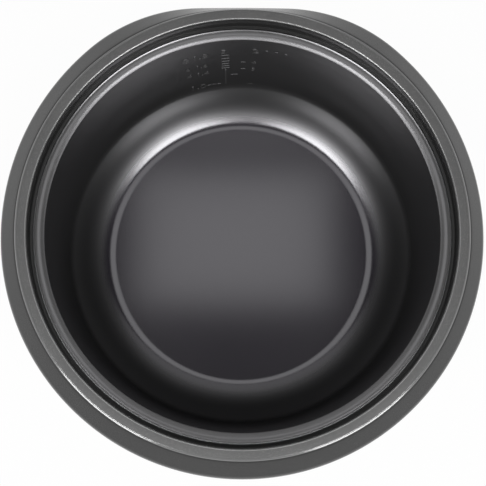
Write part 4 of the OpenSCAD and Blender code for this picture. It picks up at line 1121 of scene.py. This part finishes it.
# %% Feet
foot_r, foot_h, foot_circle, stem_r = 9.0, 6.5, 108.0, 3.0
button_z, button_h = pan_top + 0.1, 1.6
foot_section = rounded([
    (0, 0.6, 0), (4.6, 0.6, 0.3), (5.4, 0, 0.3), (foot_r - 1, 0, 0.8), (foot_r, foot_h, 0.5),
    (stem_r, foot_h, 0), (stem_r, button_z, 0), (stem_r + 1, button_z, 0.2),
    (stem_r, button_z + button_h, 0.4), (0, button_z + button_h, 0)], 4)
foot_rubber = plastic("foot_rubber", grey(0.022), 0.72, 0.5, 0.02, extra={"Specular IOR Level": 0.3})
piece("rubber_feet", [spin(foot_section, 64, place) for place in around(foot_circle, [45, 135, 225, 315])],
      foot_rubber, replaces=["feet"])

# %% [markdown]
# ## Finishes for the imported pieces
#
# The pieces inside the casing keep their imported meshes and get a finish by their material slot. They show
# when the pot is lifted out or the cooker is turned over. Each table has a row for a slot, with what its
# function takes.


# %% Woven tape
def woven(name, colour, pitch):
    """Glass-fibre tape: threads over and under each other, as the product of two sine waves, one along the
    tape's way round a cylinder of radius tape_r and one along its height."""
    tape_r = 120
    f = Finish(name, {"Specular IOR Level": 0.3})
    place = f.place()
    x, y, z = f.axes(place)
    across = f.node("Math", {"operation": "ARCTAN2"}, {0: y, 1: x}) * (tape_r / pitch * 2 * np.pi)
    upwards = z * (2 * np.pi / (pitch * MM))
    height = across.sine() * upwards.sine() * 0.5 + 0.5
    f.set({
        # Painted shade: the colour is darker where the weave is low, between the threads.
        "Base Color": f.mix(height, shade(colour, 0.55), colour),
        "Roughness": 0.62 + (f.noise(place, size=6) - 0.5) * 0.2,
        "Normal": f.bump(height, depth=0.12),
    })
    return f.material


# %% Finish by slot
metals = {
    "liner_steel": ((0.52, 0.53, 0.54, 1), 0.30, "turned", 0.5, 0.004, 0.12),
    "plate_cast": ((0.60, 0.60, 0.60, 1), 0.34, "turned", 0.45, 0.012, 0.18),
    "element_sheath": ((0.28, 0.25, 0.23, 1), 0.46, "plated", 0.5, 0.010, 0.35),
    "contact_brass": ((0.66, 0.47, 0.20, 1), 0.30, "plated", 0.4, 0.004, 0.2),
    "spacer_steel": ((0.50, 0.50, 0.51, 1), 0.36, "turned", 0.3, 0.005),
    "magnet_grey": ((0.20, 0.19, 0.18, 1), 0.50, "plated", 0.3, 0.008, 0.2),
    "lever_steel": ((0.48, 0.48, 0.46, 1), 0.36, "rolled", 0.35, 0.006, 0.18),
}
plastics = {
    "base_plastic": (grey(0.020), 0.50, 0.6, 0.020),
    "ferrite_black": (grey(0.035, 0.05), 0.48, 0.25, 0.010),
    "switch_plastic": (grey(0.014), 0.40, 0.4, 0.008),
    "button_red": ((0.42, 0.03, 0.022, 1), 0.34, 0.4, 0.004),
    "holder_plastic": ((0.66, 0.62, 0.52, 1), 0.42, 0.5, 0.008),
}
wires = {
    "wire_brown": (0.14, 0.06, 0.028, 1),
    "wire_blue": (0.035, 0.09, 0.30, 1),
    "wire_green": (0.16, 0.32, 0.035, 1),
    "wire_red": (0.36, 0.04, 0.025, 1),
    "wire_white": (0.70, 0.68, 0.60, 1),
}
by_slot = {name: metal(name, *values) for name, values in metals.items()}
by_slot |= {name: plastic(name, *values) for name, values in plastics.items()}
by_slot |= {name: plastic(name, colour, 0.36, 0.8, 0.008) for name, colour in wires.items()}
by_slot |= {
    "heater_band": woven("heater_band", (0.30, 0.20, 0.12, 1), 1.6),
    "fuse_sleeve": woven("fuse_sleeve", (0.62, 0.58, 0.46, 1), 0.9),
    "lamp_glass": lens_plastic("lamp_glass", (0.85, 0.42, 0.25, 1)),
    "screw_steel": screw_metal,
    "spring_steel": spring_metal,
    "key_plastic": key_plastic,
}
slot_of = {row["node"]: row["material_slot"] for row in frame["record"]["subparts"]}
dressed = 0
for name, node in frame["nodes"].items():
    if not node.hide_render:
        node.data.materials.clear()
        node.data.materials.append(by_slot[slot_of[name]])
        dressed += 1
print("packed pieces with a finish:", dressed, "of", len(slot_of))

# %% [markdown]
# ## Floor and room
#
# The object stands on a pale floor that rises into a wall far away, under a dim white sky. A physical
# floor would grey off in the distance, so rays from the camera, from gloss and through clear plastic find
# mostly plain white on it: a Mix Shader sends them to an Emission node. The object's own soft shadow
# stays in the rest.


# %% Floor and room
def seen_directly(finish):
    """1 for rays from the camera, from gloss and through clear plastic, 0 for rays that only carry light."""
    path = finish.node("LightPath").socket.node.outputs
    rays = [Out(finish, path[kind]) for kind in ("Is Camera Ray", "Is Glossy Ray", "Is Transmission Ray")]
    seen = rays[0] + rays[1] + rays[2]
    return seen.math("MINIMUM", seen, 1.0)


def room_floor(name, brightness, share):
    """A matt floor that a share of plain white covers where it is seen directly."""
    f = Finish(name, {"Base Color": grey(brightness), "Roughness": 0.9, "Specular IOR Level": 0.0})
    white = f.node("Emission", None, {"Color": grey(1.0), "Strength": 1.0})
    both = f.node("MixShader", None, {0: seen_directly(f) * share, 1: Out(f, f.shader.outputs[0]), 2: white})
    f.put(f.tree.nodes["Material Output"].inputs["Surface"], both)
    return f.material


sweep_r, sweep_h, sweep_bend, ground, sky = 4000.0, 1700.0, 600.0, -0.2, 0.06
sweep = np.concatenate([[[0, ground], [600, ground], [1800, ground]],
                        arc((sweep_r - sweep_bend, sweep_bend + ground), sweep_bend, -90, 0, 12),
                        [[sweep_r, sweep_h]]])
show("floor", [spin(sweep, 96)], room_floor("pale_floor", 0.80, 0.96))

world = bpy.data.worlds.new("room")
bpy.context.scene.world = world
world.use_nodes = True
world.node_tree.nodes["Background"].inputs["Color"].default_value = grey(1.0)
world.node_tree.nodes["Background"].inputs["Strength"].default_value = sky
print(f"sweep: {2 * sweep_r / 1000:.0f} m across")

# %% [markdown]
# ## Lights
#
# A light's brightness as seen in a reflection is its power divided by pi and by its area. Each light is
# given by its direction, its size and that brightness, and the power follows. Two bright boxes hang above
# the front, left and right, and draw the paired highlights in the pot's corner. Two dim ones stand low in
# front and wrap round the casing. A wide dim one above the back lifts the near side, and a small one
# nearly overhead draws the glow on the pot's floor.

# %% Lights
aim = Vector((0.0, 0.0, 0.12))


def softbox(name, azimuth, from_zenith, size, brightness, distance=1.3):
    """A light of size (width, height) in metres, at a distance from aim. The azimuth is measured from the
    front towards +X, from_zenith from straight up, both in degrees.
    Its power is brightness * pi * width * height."""
    a, t = np.radians([azimuth, from_zenith])
    direction = Vector((np.sin(a) * np.sin(t), -np.cos(a) * np.sin(t), np.cos(t)))
    data = bpy.data.lights.new(name, "AREA")
    data.shape, data.size, data.size_y = "RECTANGLE", size[0], size[1]
    data.energy = brightness * np.pi * size[0] * size[1]
    light = bpy.data.objects.new(name, data)
    light.location = aim + direction * distance
    light.rotation_mode = "QUATERNION"
    light.rotation_quaternion = direction.to_track_quat("Z", "Y")
    light.visible_camera = False
    bpy.context.scene.collection.objects.link(light)
    print(f"{name}: {data.energy:.1f} W")


softbox("left_softbox", -47, 18.0, (0.66, 0.66), 15.5, distance=2.6)
softbox("right_softbox", 42, 18.4, (0.66, 0.66), 15.5, distance=2.6)
softbox("left_panel", -42, 58, (0.60, 0.50), 5)
softbox("right_panel", 35, 58, (0.60, 0.50), 5)
softbox("back_panel", 180, 25, (0.95, 0.45), 0.8)
softbox("top_glow", 180, 7.7, (0.38, 0.26), 1.64)

# %% [markdown]
# ## Camera
#
# The camera looks down almost vertically, a little from the front and from the left. The view was worked
# out from the ellipses of the lip, the ring and the floor, which fix the direction, the distance and the
# focal length. Its matrix has the directions to the right, up and away from the object as columns, and
# then its place.

# %% Camera
azimuth, elevation, distance = np.radians(5.392), np.radians(83.287), 650.0
target = np.array([0.126, -6.554, 178.0])
focal_px, picture_px, sensor_w = 1093.57, 486, 36
level = np.array([-np.sin(azimuth), -np.cos(azimuth), 0])
away = level * np.cos(elevation) + np.array([0, 0, np.sin(elevation)])
right = np.cross(-away, (0, 1, 0))
right /= np.linalg.norm(right)
up = np.cross(away, right)
camera = bpy.data.objects.new("camera", bpy.data.cameras.new("camera"))
camera.data.lens, camera.data.sensor_width = focal_px / picture_px * sensor_w, sensor_w
camera.data.clip_start = 0.05
columns_of_view = np.stack([right, up, away, (target + distance * away) * MM], 1)
camera.matrix_world = Matrix(columns_of_view.tolist() + [[0, 0, 0, 1]])
bpy.context.scene.collection.objects.link(camera)
bpy.context.scene.camera = camera
bpy.context.scene.view_settings.view_transform = "Standard"
print("camera at", [round(v, 3) for v in camera.matrix_world.translation])
